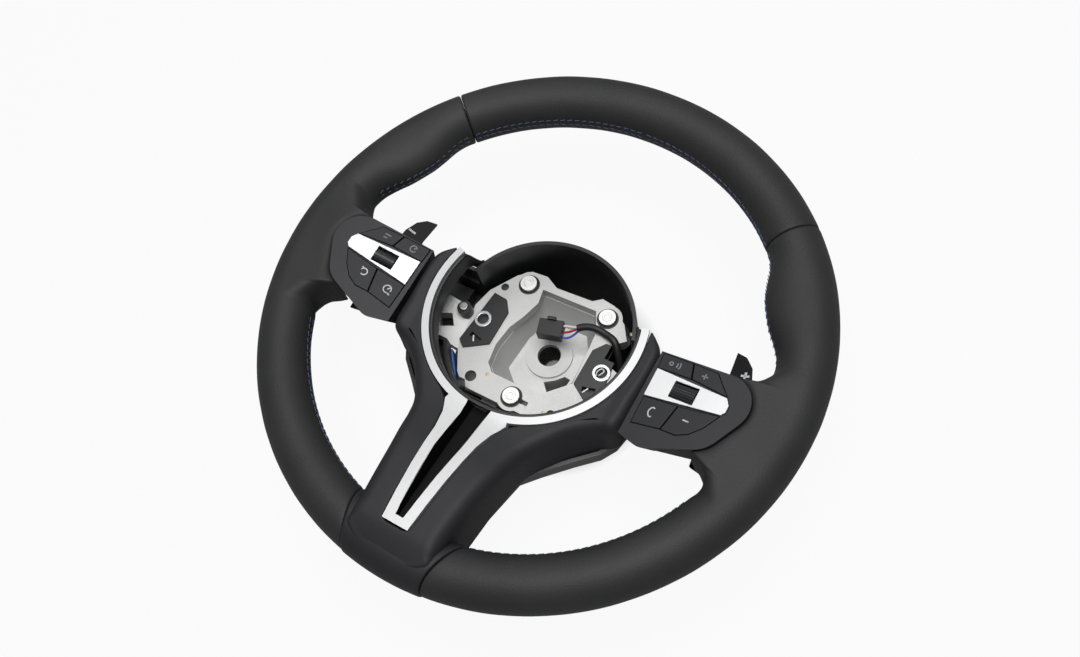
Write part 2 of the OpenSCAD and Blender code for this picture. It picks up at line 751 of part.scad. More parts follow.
// Outline of a switch pack's housing in its own plane
module housing_outline() {
    hull() {
        for (s = housing_shapes) translate([s[0], s[1]]) circle(s[2], $fn = 64);
        translate([0, -46]) square([1, 46 + housing_top]);
        translate([40, 0]) square([1, housing_top]);
    }
}

module roller_pit(gap) {
    translate([roller_u - roller_l / 2 - arm_t - 2 * cradle_gap - gap,
        roller_v - roller_r - window_gap - gap])
        square([roller_l + 2 * arm_t + 4 * cradle_gap + 2 * gap, 2 * (roller_r + window_gap + gap)]);
}

module button_plan(c, grow) {
    offset(delta = grow) polygon(c);
}

module housing(side) {
    color("#2c2d31") on_side(side) pack_frame() difference() {
        union() {
            difference() {
                translate([0, 0, -pack_h]) linear_extrude(pack_h) housing_outline();
                translate([0, 0, -pocket_floor]) linear_extrude(pocket_floor + 1) {
                    for (c = concat(row_1, row_2)) button_plan(c, button_gap);
                    offset(delta = button_gap) polygon(insert_outline);
                }
                translate([0, 0, -pit_depth]) linear_extrude(pit_depth) roller_pit(0);
            }
            if (side < 0) for (s = [-1, 1])
                translate([roller_u + s * (roller_l / 2 + cradle_gap + arm_t / 2), roller_v, -pit_depth])
                translate([-arm_t / 2, -post_w / 2, 0]) cube([arm_t, post_w, pit_depth - post_low]);
        }
        if (side < 0) translate([roller_u - roller_l, roller_v, -roller_drop]) rotate([0, 90, 0])
            cylinder(r = roller_axle_r + shaft_fit, h = 2 * roller_l);
    }
}

module insert(side) {
    color("#c9cacc") on_side(side) pack_frame() difference() {
        union() {
            linear_extrude(insert_t) polygon(insert_outline);
            for (b = insert_feet) translate([b[0], b[1], -pocket_floor])
                cube([b[2], b[3], pocket_floor + insert_t / 2]);
        }
        translate([0, 0, -1]) linear_extrude(past) translate([roller_u - roller_l / 2 - window_gap,
            roller_v - roller_r - window_gap])
            square([roller_l + 2 * window_gap, 2 * (roller_r + window_gap)]);
    }
}

module button(side, c) {
    foot = pocket_floor - button_travel - 1;
    color("#232427") on_side(side) pack_frame() translate([0, 0, -foot])
        linear_extrude(foot + button_rise) polygon(c);
}

// Ribbed cylinder with a short axle at each end
module ribbed() {
    rotate([0, 90, 0]) {
        translate([0, 0, -roller_l / 2]) linear_extrude(roller_l) polygon([for (i = [0:rib_n - 1],
            c = rib_corners)
            c[0] * [cos(360 / rib_n * (i + c[1])), sin(360 / rib_n * (i + c[1]))]]);
        cylinder(r = roller_axle_r, h = roller_l + 2 * cradle_gap + 2 * arm_t - axle_short, center = true);
    }
}

module roller_right() {
    color("#1b1c1e") pack_frame() translate([roller_u, roller_v, -roller_drop]) ribbed();
}

module rocker_left() {
    color("#1b1c1e") mirror([1, 0, 0]) pack_frame() translate([roller_u, roller_v, -roller_drop])
        rotate([0, 90, 0]) {
        cylinder(r = roller_r - rib_r, h = roller_l, center = true);
        for (a = rocker_lips) rotate([0, 0, a]) translate([roller_r - lip_t, -lip_t / 2, -roller_l / 2])
            cube([lip_t, lip_t, roller_l]);
        cylinder(r = roller_axle_r, h = roller_l + 2 * cradle_gap + 2 * arm_t - axle_short, center = true);
    }
}

module cradle_right() {
    color("#101012") pack_frame() translate([roller_u, roller_v, 0]) difference() {
        union() {
            for (s = [-1, 1]) translate([s * (roller_l / 2 + cradle_gap + arm_t / 2) - arm_t / 2,
                -roller_r, -cradle_low])
                cube([arm_t, 2 * roller_r, cradle_low - post_low]);
            translate([-roller_l / 2 - cradle_gap - arm_t, -roller_r, -cradle_low])
                cube([roller_l + 2 * cradle_gap + 2 * arm_t, 2 * roller_r, cradle_floor_t]);
        }
        translate([0, 0, -roller_drop]) rotate([0, 90, 0]) cylinder(r = roller_axle_r + shaft_fit,
            h = 2 * roller_l, center = true);
    }
}

// Plane of a paddle: the hinge runs along its v axis
module paddle_frame() {
    translate([hinge_x, 0, dish - hinge_drop]) rotate([0, -paddle_a, 0]) children();
}

module paddle(side) {
    color("#1a1a1c") on_side(side) paddle_frame() difference() {
        union() {
            translate([0, 0, -blade_t / 2]) linear_extrude(blade_t) polygon(blade_outline);
            translate([0, barrel_y1, 0]) rotate([90, 0, 0]) cylinder(r = barrel_r,
                h = barrel_y1 - barrel_y0);
        }
        translate([0, past, 0]) rotate([90, 0, 0]) cylinder(d = hinge_pin_d + 2 * shaft_fit, h = 2 * past);
    }
}

module paddle_base(side) {
    color("#1d1d20") on_side(side) {
        translate([base_x0, barrel_y0 - lug_gap - lug_t, dish - hinge_drop - base_h / 2])
            cube([base_x1 - base_x0, barrel_y1 - barrel_y0 + 2 * lug_gap + 2 * lug_t, base_h]);
        for (y = [barrel_y0 - lug_gap - lug_t, barrel_y1 + lug_gap]) hull() {
            translate([hinge_x, y + lug_t, dish - hinge_drop]) rotate([90, 0, 0]) cylinder(r = barrel_r,
                h = lug_t, $fn = 32);
            translate([base_x1 - 1, y, dish - hinge_drop - barrel_r]) cube([1, lug_t, 2 * barrel_r]);
        }
        translate([hinge_x, barrel_y1 + lug_gap + hinge_bite, dish - hinge_drop]) rotate([90, 0, 0])
            cylinder(d = hinge_pin_d, h = barrel_y1 - barrel_y0 + 2 * lug_gap + 2 * hinge_bite);
    }
}

// Contact pins that the centre cover clips to, sprung along Z
module pin(p) {
    color("#d4d6d8") translate([p[0], p[1], plate_z + pin_over]) {
        translate([0, 0, -pin_head_t]) cylinder(d = pin_head_d, h = pin_head_t);
        translate([0, 0, -pin_len]) cylinder(d = pin_d, h = pin_len);
        difference() {
            cylinder(d = dimple_d + 3, h = dimple_h);
            cylinder(d = dimple_d, h = 2 * dimple_h);
        }
    }
}

module pin_sleeves() {
    sleeve_h = plate_t + sleeve_low + sleeve_over;
    color("#111113") for (p = pin_places) translate([p[0], p[1], plate_z + sleeve_over - sleeve_h])
        difference() {
        cylinder(d = sleeve_d - 2 * shaft_fit, h = sleeve_h);
        translate([0, 0, -past / 2]) cylinder(d = pin_d + 2 * shaft_fit, h = past);
        translate([0, 0, sleeve_h - pin_head_t - pin_travel]) cylinder(r = pin_head_d / 2 + head_room,
            h = past);
    }
}

// Black brackets beside the well with a wire clip slot below their eyelet
module bracket(side) {
    color("#141416") on_side(side) difference() {
        translate([0, 0, plate_z - bracket_depth]) linear_extrude(bracket_depth + bracket_rise)
            polygon(bracket_outline);
        translate([eyelet_at[0], eyelet_at[1], plate_z - bracket_depth - 1]) cylinder(r = eyelet_r,
            h = past);
        translate([clip_at[0], clip_at[1], plate_z - bracket_rise]) rotate([0, 0, clip_a])
            translate([-clip_slot[0] / 2, -clip_slot[1] / 2, 0]) cube([clip_slot[0], clip_slot[1], past]);
        if (side > 0) translate([bracket_cut[0], bracket_cut[1], plate_z - past]) cube([past, past,
            2 * past]);
    }
}

module eyelet(side) {
    color("#c8cacc") on_side(side) translate([eyelet_at[0], eyelet_at[1], plate_z - bracket_depth])
        difference() {
        cylinder(r = eyelet_r - shaft_fit, h = bracket_depth + bracket_rise + eyelet_over);
        translate([0, 0, -1]) cylinder(r = eyelet_hole_r, h = past);
    }
}

module connector() {
    color("#0e0e10") translate([connector_at[0], connector_at[1], connector_z]) rotate([0, 0,
        connector_turn]) {
        translate([-connector_size[0] / 2, -connector_size[1] / 2, 0]) cube(connector_size);
        translate([-latch_size[0] / 2, connector_size[1] / 2 - 1, connector_size[2] - 1]) cube(latch_size);
    }
}

module lead() {
    color("#121214") tube(lead_route, lead_d, 3, 12);
}

module wire_white() {
    color("#e6e2dc") tube(wire_white_route, wire_d, 3, 8);
}

module wire_red() {
    color("#a3343a") tube(wire_red_route, wire_d, 3, 8);
}

module wire_blue() {
    color("#3f52a8") tube(wire_blue_route, wire_d, 3, 8);
}

// Plug and wire in the space left of the casting
module side_connector() {
    color("#2f5f9f") translate([side_plug_at[0], side_plug_at[1], bowl_low_z + seat_gap]) rotate([0, 0,
        side_plug_turn])
        translate([-side_plug_size[0] / 2, -side_plug_size[1] / 2, 0]) cube(side_plug_size);
}

module side_wire() {
    color("#a01c26") tube(side_wire_route, side_wire_d, 3, 8);
}

// Ribbed control unit under the lower edge of the casting
module control_module() {
    pitch = module_size[1] / module_ribs;
    color("#1a1b1c") translate([module_at[0], module_at[1], bowl_low_z + seat_gap]) {
        cube(module_size);
        for (i = [0:module_ribs - 1]) translate([1, (i + 1 / 4) * pitch, module_size[2] - 1])
            cube([module_size[0] - 2, pitch / 2, module_rib_h + 1]);
    }
}

// Bolt on a black boss that stands on the left arm
module side_boss() {
    base = arm_z + (-side_screw_at[0] - arm_x) * tan(arm_a);
    color("#111113") difference() {
        translate([side_screw_at[0], side_screw_at[1], base - 2]) cylinder(d = side_boss_d,
            h = side_boss_top - base + 2);
        armature_arms(0);
        translate([0, 0, plate_z - plate_t]) linear_extrude(plate_t + seat_gap) offset(delta = seat_gap)
            polygon(plate_outline);
        translate([side_screw_at[0], side_screw_at[1], side_boss_top - screw_l])
            cylinder(r = screw_shank_r + shaft_fit, h = past);
    }
}

module side_screw() {
    color("#c4c8ca") translate([side_screw_at[0], side_screw_at[1], side_boss_top]) {
        cylinder(d = side_screw_d, h = screw_head_t);
        translate([0, 0, shaft_fit - screw_l]) cylinder(r = screw_shank_r, h = screw_l);
    }
}

armature();
rim_foam();
leather_top();
leather_left();
leather_right();
spoke_cover();
trim();
trim_slot();
rear_cover();
lower_back();
housing(-1);  // housing_left
housing(1);  // housing_right
insert(-1);  // insert_left
insert(1);  // insert_right
button(-1, row_1[0]);  // button_left_1
button(-1, row_1[1]);  // button_left_2
button(-1, row_2[0]);  // button_left_3
button(-1, row_2[1]);  // button_left_4
button(1, row_1[0]);  // button_right_1
button(1, row_1[1]);  // button_right_2
button(1, row_2[0]);  // button_right_3
button(1, row_2[1]);  // button_right_4
rocker_left();
cradle_right();
roller_right();
paddle(-1);  // paddle_left
paddle(1);  // paddle_right
paddle_base(-1);  // paddle_base_left
paddle_base(1);  // paddle_base_right
pin(pin_places[0]);  // pin_left
pin(pin_places[1]);  // pin_right
pin(pin_places[2]);  // pin_low
pin_sleeves();
bracket(-1);  // bracket_left
bracket(1);  // bracket_right
eyelet(-1);  // eyelet_left
eyelet(1);  // eyelet_right
connector();
lead();
wire_white();
wire_red();
wire_blue();
side_connector();
side_wire();
control_module();
side_boss();
side_screw();
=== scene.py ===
import math

import bmesh
import bpy
from mathutils import Matrix, Vector, noise
from mathutils.bvhtree import BVHTree
from mathutils.geometry import convex_hull_2d


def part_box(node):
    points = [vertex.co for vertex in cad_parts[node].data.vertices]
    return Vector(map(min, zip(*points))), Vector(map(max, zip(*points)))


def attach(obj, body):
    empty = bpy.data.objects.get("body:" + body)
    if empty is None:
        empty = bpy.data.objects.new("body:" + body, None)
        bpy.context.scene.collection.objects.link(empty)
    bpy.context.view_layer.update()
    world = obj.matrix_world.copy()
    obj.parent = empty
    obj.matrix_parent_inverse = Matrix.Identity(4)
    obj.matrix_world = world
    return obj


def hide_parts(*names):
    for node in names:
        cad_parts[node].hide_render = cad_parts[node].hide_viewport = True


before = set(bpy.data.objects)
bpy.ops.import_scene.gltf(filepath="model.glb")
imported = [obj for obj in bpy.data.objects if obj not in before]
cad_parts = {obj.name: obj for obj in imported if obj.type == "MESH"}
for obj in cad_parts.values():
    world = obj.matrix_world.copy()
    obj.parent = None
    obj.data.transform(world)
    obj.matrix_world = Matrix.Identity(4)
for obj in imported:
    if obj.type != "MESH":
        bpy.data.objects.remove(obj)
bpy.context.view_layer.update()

# Camera, at the photograph's angle: a short lens close to the wheel, a little
# to the driver's right and below the hub, looking down on the wheel that lies
# face up on its hub.
camera_data = bpy.data.cameras.new("view_camera")
camera_data.lens = 30
camera_data.sensor_width = 36
camera_data.shift_x = 0.0076
camera_data.shift_y = 0.0462
camera = bpy.data.objects.new("view_camera", camera_data)
camera_right = Vector((0.8544, 0.4922, -0.1667))
camera_up = Vector((-0.4061, 0.8325, 0.3768))
camera_back = Vector((0.3242, -0.2542, 0.9112))
camera_turn = Matrix((camera_right, camera_up, camera_back)).transposed().to_4x4()
camera.matrix_world = Matrix.Translation((0.19912, -0.17845, 0.59438)) @ camera_turn
bpy.context.scene.collection.objects.link(camera)
bpy.context.scene.camera = camera
bpy.context.scene.view_settings.view_transform = "Standard"

# Lead and wires of the hub: a sheathed lead of 5 mm with three thin wires that
# fan out of its end into the black plug. They are held at both ends, so they
# keep the route that the solids have.


def surface_group(name, cell, depth, tone, rough_spread, stretch=(1, 1, 1)):
    """Node group: colour, roughness and height of a surface with a fine cell pattern."""
    tree = bpy.data.node_groups.new(name, "ShaderNodeTree")
    sockets = tree.interface.new_socket
    sockets("Vector", in_out="INPUT", socket_type="NodeSocketVector")
    sockets("Colour", in_out="INPUT", socket_type="NodeSocketColor")
    sockets("Roughness", in_out="INPUT", socket_type="NodeSocketFloat")
    sockets("Colour", in_out="OUTPUT", socket_type="NodeSocketColor")
    sockets("Roughness", in_out="OUTPUT", socket_type="NodeSocketFloat")
    sockets("Height", in_out="OUTPUT", socket_type="NodeSocketFloat")
    nodes, links = tree.nodes, tree.links
    start, end = nodes.new("NodeGroupInput"), nodes.new("NodeGroupOutput")
    place = nodes.new("ShaderNodeMapping")
    place.inputs["Scale"].default_value = stretch
    cells = nodes.new("ShaderNodeTexVoronoi")
    cells.feature = "SMOOTH_F1"
    cells.inputs["Scale"].default_value = cell
    cells.inputs["Smoothness"].default_value = 0.6
    fine = nodes.new("ShaderNodeTexNoise")
    fine.inputs["Scale"].default_value = cell * 0.9
    fine.inputs["Detail"].default_value = 4
    broad = nodes.new("ShaderNodeTexNoise")
    broad.inputs["Scale"].default_value = 28
    broad.inputs["Detail"].default_value = 3
    links.new(start.outputs["Vector"], place.inputs["Vector"])
    for texture in (cells, fine, broad):
        links.new(place.outputs["Vector"], texture.inputs["Vector"])
    height = nodes.new("ShaderNodeMath")
    height.operation = "MULTIPLY_ADD"
    height.inputs[1].default_value = depth
    links.new(cells.outputs["Distance"], height.inputs[0])
    links.new(fine.outputs["Fac"], height.inputs[2])
    spread = nodes.new("ShaderNodeMapRange")
    spread.inputs["From Min"].default_value = 0.3
    spread.inputs["From Max"].default_value = 0.7
    spread.inputs["To Min"].default_value = 1 - tone
    spread.inputs["To Max"].default_value = 1 + tone
    links.new(broad.outputs["Fac"], spread.inputs["Value"])
    tint = nodes.new("ShaderNodeVectorMath")
    tint.operation = "SCALE"
    links.new(start.outputs["Colour"], tint.inputs[0])
    links.new(spread.outputs["Result"], tint.inputs["Scale"])
    gloss = nodes.new("ShaderNodeMath")
    gloss.operation = "MULTIPLY_ADD"
    gloss.inputs[1].default_value = rough_spread
    links.new(fine.outputs["Fac"], gloss.inputs[0])
    links.new(start.outputs["Roughness"], gloss.inputs[2])
    links.new(tint.outputs["Vector"], end.inputs["Colour"])
    links.new(gloss.outputs["Value"], end.inputs["Roughness"])
    links.new(height.outputs["Value"], end.inputs["Height"])
    return tree


GRAINS = {
    "moulded": surface_group("moulded_surface", 1600, 0.6, 0.08, 0.10),
    "leather": surface_group("leather_grain", 1150, 1.4, 0.10, 0.12),
    "cast": surface_group("cast_surface", 900, 0.5, 0.07, 0.22),
    "brushed": surface_group("satin_metal", 2600, 0.4, 0.04, 0.12, (1, 0.2, 1)),
    "sheath": surface_group("rubber_sheath", 2200, 0.7, 0.10, 0.10),
}


def finish(name, grain, colour, rough, bump, metal=0.0, specular=0.5):
    """Material: a Principled surface dressed with one of the grain groups."""
    material = bpy.data.materials.new(name)
    material.use_nodes = True
    nodes, links = material.node_tree.nodes, material.node_tree.links
    shader = nodes["Principled BSDF"]
    shader.inputs["Metallic"].default_value = metal
    shader.inputs["Specular IOR Level"].default_value = specular
    place = nodes.new("ShaderNodeTexCoord")
    surface = nodes.new("ShaderNodeGroup")
    surface.node_tree = GRAINS[grain]
    surface.inputs["Colour"].default_value = (*colour, 1)
    surface.inputs["Roughness"].default_value = rough
    relief = nodes.new("ShaderNodeBump")
    relief.inputs["Strength"].default_value = bump
    relief.inputs["Distance"].default_value = 0.0003
    links.new(place.outputs["Object"], surface.inputs["Vector"])
    links.new(surface.outputs["Colour"], shader.inputs["Base Color"])
    links.new(surface.outputs["Roughness"], shader.inputs["Roughness"])
    links.new(surface.outputs["Height"], relief.inputs["Height"])
    links.new(relief.outputs["Normal"], shader.inputs["Normal"])
    return material


def set_material(piece, material):
    """Gives a solid that stays in view its one finish."""
    piece.data.materials.clear()
    piece.data.materials.append(material)


lead_sheath = finish("lead_sheath", "sheath", (0.012, 0.012, 0.013), 0.42, 0.25)
wire_finishes = {
    "wire_white": finish("wire_white", "sheath", (0.78, 0.75, 0.70), 0.38, 0.1),
    "wire_red": finish("wire_red", "sheath", (0.42, 0.03, 0.045), 0.38, 0.1),
    "wire_blue": finish("wire_blue", "sheath", (0.055, 0.09, 0.46), 0.38, 0.1),
}


def catmull(points, count):
    """A smooth line through the points, count steps between each pair."""
    out = []
    for i in range(len(points) - 1):
        p0, p1 = points[max(i - 1, 0)], points[i]
        p2, p3 = points[i + 1], points[min(i + 2, len(points) - 1)]
        for k in range(count):
            t = k / count
            out.append(0.5 * ((2 * p1) + (p2 - p0) * t + (2 * p0 - 5 * p1 + 4 * p2 - p3) * t ** 2
                              + (3 * p1 - p0 - 3 * p2 + p3) * t ** 3))
    return out + [points[-1]]


def loft(rings, capped=False):
    """A bmesh skin: the first ring's edges are extruded to each next ring in turn."""
    bm = bmesh.new()
    line = [bm.verts.new(p) for p in rings[0]]
    count = len(line)
    edges = [bm.edges.new((line[i], line[(i + 1) % count])) for i in range(count)]
    first = list(edges)
    for ring in rings[1:]:
        out = bmesh.ops.extrude_edge_only(bm, edges=edges)["geom"]
        made = {g for g in out if isinstance(g, bmesh.types.BMVert)}
        line = [next(e.other_vert(v) for e in v.link_edges if e.other_vert(v) in made) for v in line]
        edges = [g for g in out if isinstance(g, bmesh.types.BMEdge)]
        for v, p in zip(line, ring):
            v.co = p
    if capped:
        bmesh.ops.edgenet_fill(bm, edges=first)
        bmesh.ops.edgenet_fill(bm, edges=edges)
    bmesh.ops.recalc_face_normals(bm, faces=bm.faces)
    return bm


def piece(name, bm, material, slot, body="wheel", stands_for=(), smooth=40):
    """Turns a bmesh into a finished piece that rides on a body."""
    mesh = bpy.data.meshes.new(name)
    bm.to_mesh(mesh)
    bm.free()
    mesh.shade_smooth()
    mesh.set_sharp_from_angle(angle=math.radians(smooth))
    made = bpy.data.objects.new(name, mesh)
    bpy.context.scene.collection.objects.link(made)
    made.data.materials.append(material)
    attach(made, body)
    if stands_for:
        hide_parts(*stands_for)
    return made


MERGE_GAP = 0.000002
FLAT_WITHIN = math.radians(0.6)
EDGE_FROM = math.radians(28)


def dressed(name, node, material, slot, bevel, body="wheel"):
    """A merged copy of a solid with its edges broken, as a mould or a cutter leaves them."""
    bm = bmesh.new()
    bm.from_mesh(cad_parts[node].data)
    bmesh.ops.remove_doubles(bm, verts=bm.verts, dist=MERGE_GAP)
    bmesh.ops.dissolve_degenerate(bm, edges=bm.edges, dist=MERGE_GAP)
    bmesh.ops.dissolve_limit(bm, angle_limit=FLAT_WITHIN, verts=bm.verts, edges=bm.edges)
    sharp = [e for e in bm.edges if len(e.link_faces) == 2 and e.calc_face_angle(0) > EDGE_FROM]
    bmesh.ops.bevel(bm, geom=sharp, offset=bevel / 1000, segments=2, profile=0.5, affect="EDGES",
                    material=-1, clamp_overlap=True)
    made = piece(name, bm, material, slot, body=body, stands_for=[node], smooth=32)
    even = made.modifiers.new("even_faces", "WEIGHTED_NORMAL")
    even.keep_sharp = True
    return made


def tube_rings(line, diameter, sides):
    """Rings of points round a line, one at each of its points."""
    rings, side = [], Vector((0.3, 0.2, 0.93))
    for i, p in enumerate(line):
        along = (line[min(i + 1, len(line) - 1)] - line[max(i - 1, 0)]).normalized()
        side = (side - along * side.dot(along)).normalized()
        other = along.cross(side)
        turns = [2 * math.pi * k / sides for k in range(sides)]
        rings.append([p + (side * math.cos(a) + other * math.sin(a)) * diameter / 2 for a in turns])
    return rings


black_finish = finish("moulded_black", "moulded", (0.009, 0.009, 0.010), 0.36, 0.08)
hub_plug = dressed("hub_plug", "connector", black_finish, "plug_black", 0.3)
lead_route = [(52, 4.5, 2.5), (52, 4.5, 14), (52.5, 5, 26), (53, 6.5, 35), (52, 9.5, 43), (48.5, 14, 49.5),
              (43.6, 19.2, 54), (36, 21.6, 53.7), (28, 22.4, 53.7), (21, 21, 53), (16, 18, 52)]
lead_line = catmull([Vector(p) / 1000 for p in lead_route], 5)
lead = piece("hub_lead", loft(tube_rings(lead_line, 0.005, 16), capped=True), lead_sheath, "lead_black",
             stands_for=["lead"])
for name, material in wire_finishes.items():
    set_material(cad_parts[name], material)

# Leather of the rim: three pieces of black nappa that meet in narrow tucked
# seams, glued over the padding, with a thumb swell above each side spoke and a
# root that flares from the rim to each switch pack.

# Lengths are in millimetres. RIM_Z is the rim's middle plane over the rear face,
# and the other heights are over that plane.
RIM_Z = 88.0
RING_R = 167.8
TUBE_R = 17.2
INNER_R = 150.6
ARC_R = 71
PACK_X = 84
SPOKE_TILT = math.radians(11)
SPOKE_RISE = math.tan(SPOKE_TILT)
leather_finish = finish("rim_leather", "leather", (0.027, 0.027, 0.027), 0.54, 0.22, specular=0.34)


def metres(x, y, z):
    """A point given in millimetres, with its height over the rim's middle."""
    return Vector((x, y, z + RIM_Z)) / 1000


def table(knots, x):
    """A smooth value between knots of (place, value)."""
    if x <= knots[0][0]:
        return knots[0][1]
    if x >= knots[-1][0]:
        return knots[-1][1]
    i = next(k for k in range(1, len(knots)) if x <= knots[k][0])
    (x1, y1), (x2, y2) = knots[i - 1], knots[i]
    x0, y0 = knots[max(i - 2, 0)]
    x3, y3 = knots[min(i + 1, len(knots) - 1)]
    m1 = (y2 - y0) / max(x2 - x0, 1e-6)
    m2 = (y3 - y1) / max(x3 - x1, 1e-6)
    span = x2 - x1
    t = (x - x1) / span
    return ((2 * t ** 3 - 3 * t ** 2 + 1) * y1 + (t ** 3 - 2 * t ** 2 + t) * m1 * span
            + (3 * t ** 2 - 2 * t ** 3) * y2 + (t ** 3 - t ** 2) * m2 * span)


def ease(x, low, high):
    """From 0 at low to 1 at high, smooth at both ends."""
    t = min(max((x - low) / (high - low), 0), 1)
    return t * t * (3 - 2 * t)


# The pack housing's outline in the wheel's plane, which the leather's root meets
pack_circles = [(46, -6.5, 18.5), (38, -21, 19), (15, -37, 12.5)]
pack_points = [(0, -46), (0, 11.6), (41, 11.6)]
round_turns = [k * math.pi / 36 for k in range(72)]
for u, v, radius in pack_circles:
    pack_points += [(u + radius * math.cos(a), v + radius * math.sin(a)) for a in round_turns]
pack_flat = [Vector((PACK_X + u * math.cos(SPOKE_TILT), v)) for u, v in pack_points]
pack_hull = [pack_flat[i] for i in convex_hull_2d(pack_flat)]


def pack_reach(angle):
    """Distance from the wheel's middle to the housing's far edge at an angle."""
    ray = Vector((math.cos(math.radians(angle)), math.sin(math.radians(angle))))
    best = 0
    for i, a in enumerate(pack_hull):
        b = pack_hull[(i + 1) % len(pack_hull)]
        side_a = ray.x * a.y - ray.y * a.x
        side_b = ray.x * b.y - ray.y * b.x
        if side_a * side_b < 0:
            best = max(best, (a + (b - a) * side_a / (side_a - side_b)).dot(ray))
    return best


# Pairs of angle and inner radius above the pack, over the thumb swell, and below
root_top = [(5.4, 133.0), (6.0, 140.5), (6.8, 144.4), (7.8, 147.0), (9.2, 149.4), (10.8, INNER_R),
            (13, 150.8), (15, 150.2), (18, 147.6), (22, 144.0), (26, 142.4), (30, 142.3), (34, 144.8),
            (38, 148.8), (41, 150.5), (44, INNER_R)]
root_low = [(-24, 150.8), (-22, 151.4), (-20.6, 151.0), (-19.4, 148.8), (-18.6, 145.4), (-17.9, 140.4),
            (-17.4, 135.5)]
PACK_LOW_A, PACK_HIGH_A = -17.2, 5.4
PACK_GAP = 0.45
ROOT_FACE = 2.9
ROOT_THIN = 4.2


def inner_reach(angle):
    """Radius of the leather's inner edge at an angle over the horizontal."""
    if angle >= PACK_HIGH_A:
        return table(root_top, angle)
    if angle <= PACK_LOW_A:
        return table(root_low, angle)
    return pack_reach(angle) + PACK_GAP


def rim_section(angle):
    """The rim's cross-section at an angle, as pairs of radius and height."""
    reach = RING_R - inner_reach(angle)
    root = ease(angle, -22.5, -18.6) * (1 - ease(angle, 6.3, 11.5))
    tucked = ease(angle, -18.0, -17.2) * (1 - ease(angle, 5.0, 5.8))
    power = 2 / (2.0 + 2.4 * root + 9 * tucked)
    outer = [(RING_R + TUBE_R * math.cos(math.radians(a)), TUBE_R * math.sin(math.radians(a)))
             for a in range(-90, 90, 6)]
    line = []
    for k in range(181):
        a = math.pi / 2 - k * math.pi / 180
        radius = RING_R - reach * abs(math.cos(a)) ** power
        lift = abs(math.sin(a)) ** power
        if a > 0:
            face = min(TUBE_R, ROOT_FACE + (radius - ARC_R) * SPOKE_RISE)
        else:
            face = TUBE_R - ROOT_THIN * (1 - ease(radius, 134, 160))
        height = TUBE_R + (face - TUBE_R) * root
        line.append(Vector((radius, height * lift if a > 0 else -height * lift)))
    steps = [(b - a).length for a, b in zip(line, line[1:])]
    total, inner, walked, i = sum(steps), [], 0.0, 0
    for k in range(34):
        goal = total * k / 34
        while walked + steps[i] < goal:
            walked += steps[i]
            i += 1
        inner.append(tuple(line[i].lerp(line[i + 1], (goal - walked) / steps[i])))
    return outer + inner


def seam_x(radius):
    """Half width of the lower cover where it wraps the rim, wider toward the rim's inner side."""
    inward = (1 - (radius - RING_R) / TUBE_R) / 2
    return 28 + 9.5 * max(inward, 0) ** 1.5


# Pairs of distance from a seam and how far the leather is tucked in there
TUCK = [(0.0, 2.4), (0.12, 1.2), (0.4, 0.5), (0.9, 0.12), (1.8, 0.0)]
SEAM_LOW = -77
SEAM_TOP = 43.5


def leather_ring(angle, sink, low_seam=None):
    """A ring of points round the rim, sunk toward its middle, at a plain angle or beside the lower seam."""
    shape = rim_section(angle)
    ring = []
    for radius, height in shape:
        out = Vector((radius - RING_R, height))
        out = out - out.normalized() * sink
        r, z = RING_R + out.x, out.y
        turn = math.radians(angle)
        if low_seam is not None:
            share, along = low_seam
            seam = -math.pi / 2 + math.asin((seam_x(radius) + along) / r)
            turn = turn + (seam - math.radians(SEAM_LOW)) * share
        ring.append(metres(r * math.cos(turn), r * math.sin(turn), z))
    return ring


side_rings = [leather_ring(SEAM_LOW, sink, (1, 0.3 + along)) for along, sink in TUCK]
for k in range(1, 12):
    share = 1 - ease(k, 0, 11)
    side_rings.append(leather_ring(SEAM_LOW + k * 1.2, 0, (share, 2.1 * share)))
side_angles = [-63.8 + 1.4 * k for k in range(1, 28)]
side_angles += [-25 + 0.25 * k for k in range(0, 37)]
side_angles += [-15.5 + 0.6 * k for k in range(0, 34)]
side_angles += [4.8 + 0.2 * k for k in range(0, 42)]
side_angles += [13.4 + 0.8 * k for k in range(0, 37)]
side_angles = sorted(a for a in side_angles if a < SEAM_TOP - 0.9)
side_rings += [leather_ring(a, 0) for a in side_angles]
DEGREES_PER_MM = 180 / math.pi / RING_R
SEAM_HALF = 0.15
side_rings += [leather_ring(SEAM_TOP - (SEAM_HALF + along) * DEGREES_PER_MM, sink)
               for along, sink in reversed(TUCK)]

WRINKLE_DEPTH = 0.00016
WRINKLE_SCALE = 55


def wrinkle(bm):
    """Small hollows and swells of hand-laid leather."""
    bm.normal_update()
    for v in bm.verts:
        v.co += v.normal * WRINKLE_DEPTH * noise.noise(v.co * WRINKLE_SCALE)


for name, flip in (("right", 1), ("left", -1)):
    rings = [[Vector((p.x * flip, p.y, p.z)) for p in ring] for ring in side_rings]
    bm = loft(rings, capped=True)
    wrinkle(bm)
    piece("rim_leather_" + name, bm, leather_finish, "leather", stands_for=["leather_" + name], smooth=60)

top_rings = []
for along, sink in TUCK:
    top_rings.append(leather_ring(SEAM_TOP + (SEAM_HALF + along) * DEGREES_PER_MM, sink))
top_rings += [leather_ring(SEAM_TOP + 0.9 + 1.16 * k, 0) for k in range(0, 40)]
mirrored = [[Vector((-p.x, p.y, p.z)) for p in ring] for ring in reversed(top_rings)]
bm = loft(top_rings + mirrored, capped=True)
wrinkle(bm)
piece("rim_leather_top", bm, leather_finish, "leather", stands_for=["leather_top", "rim_foam"], smooth=60)

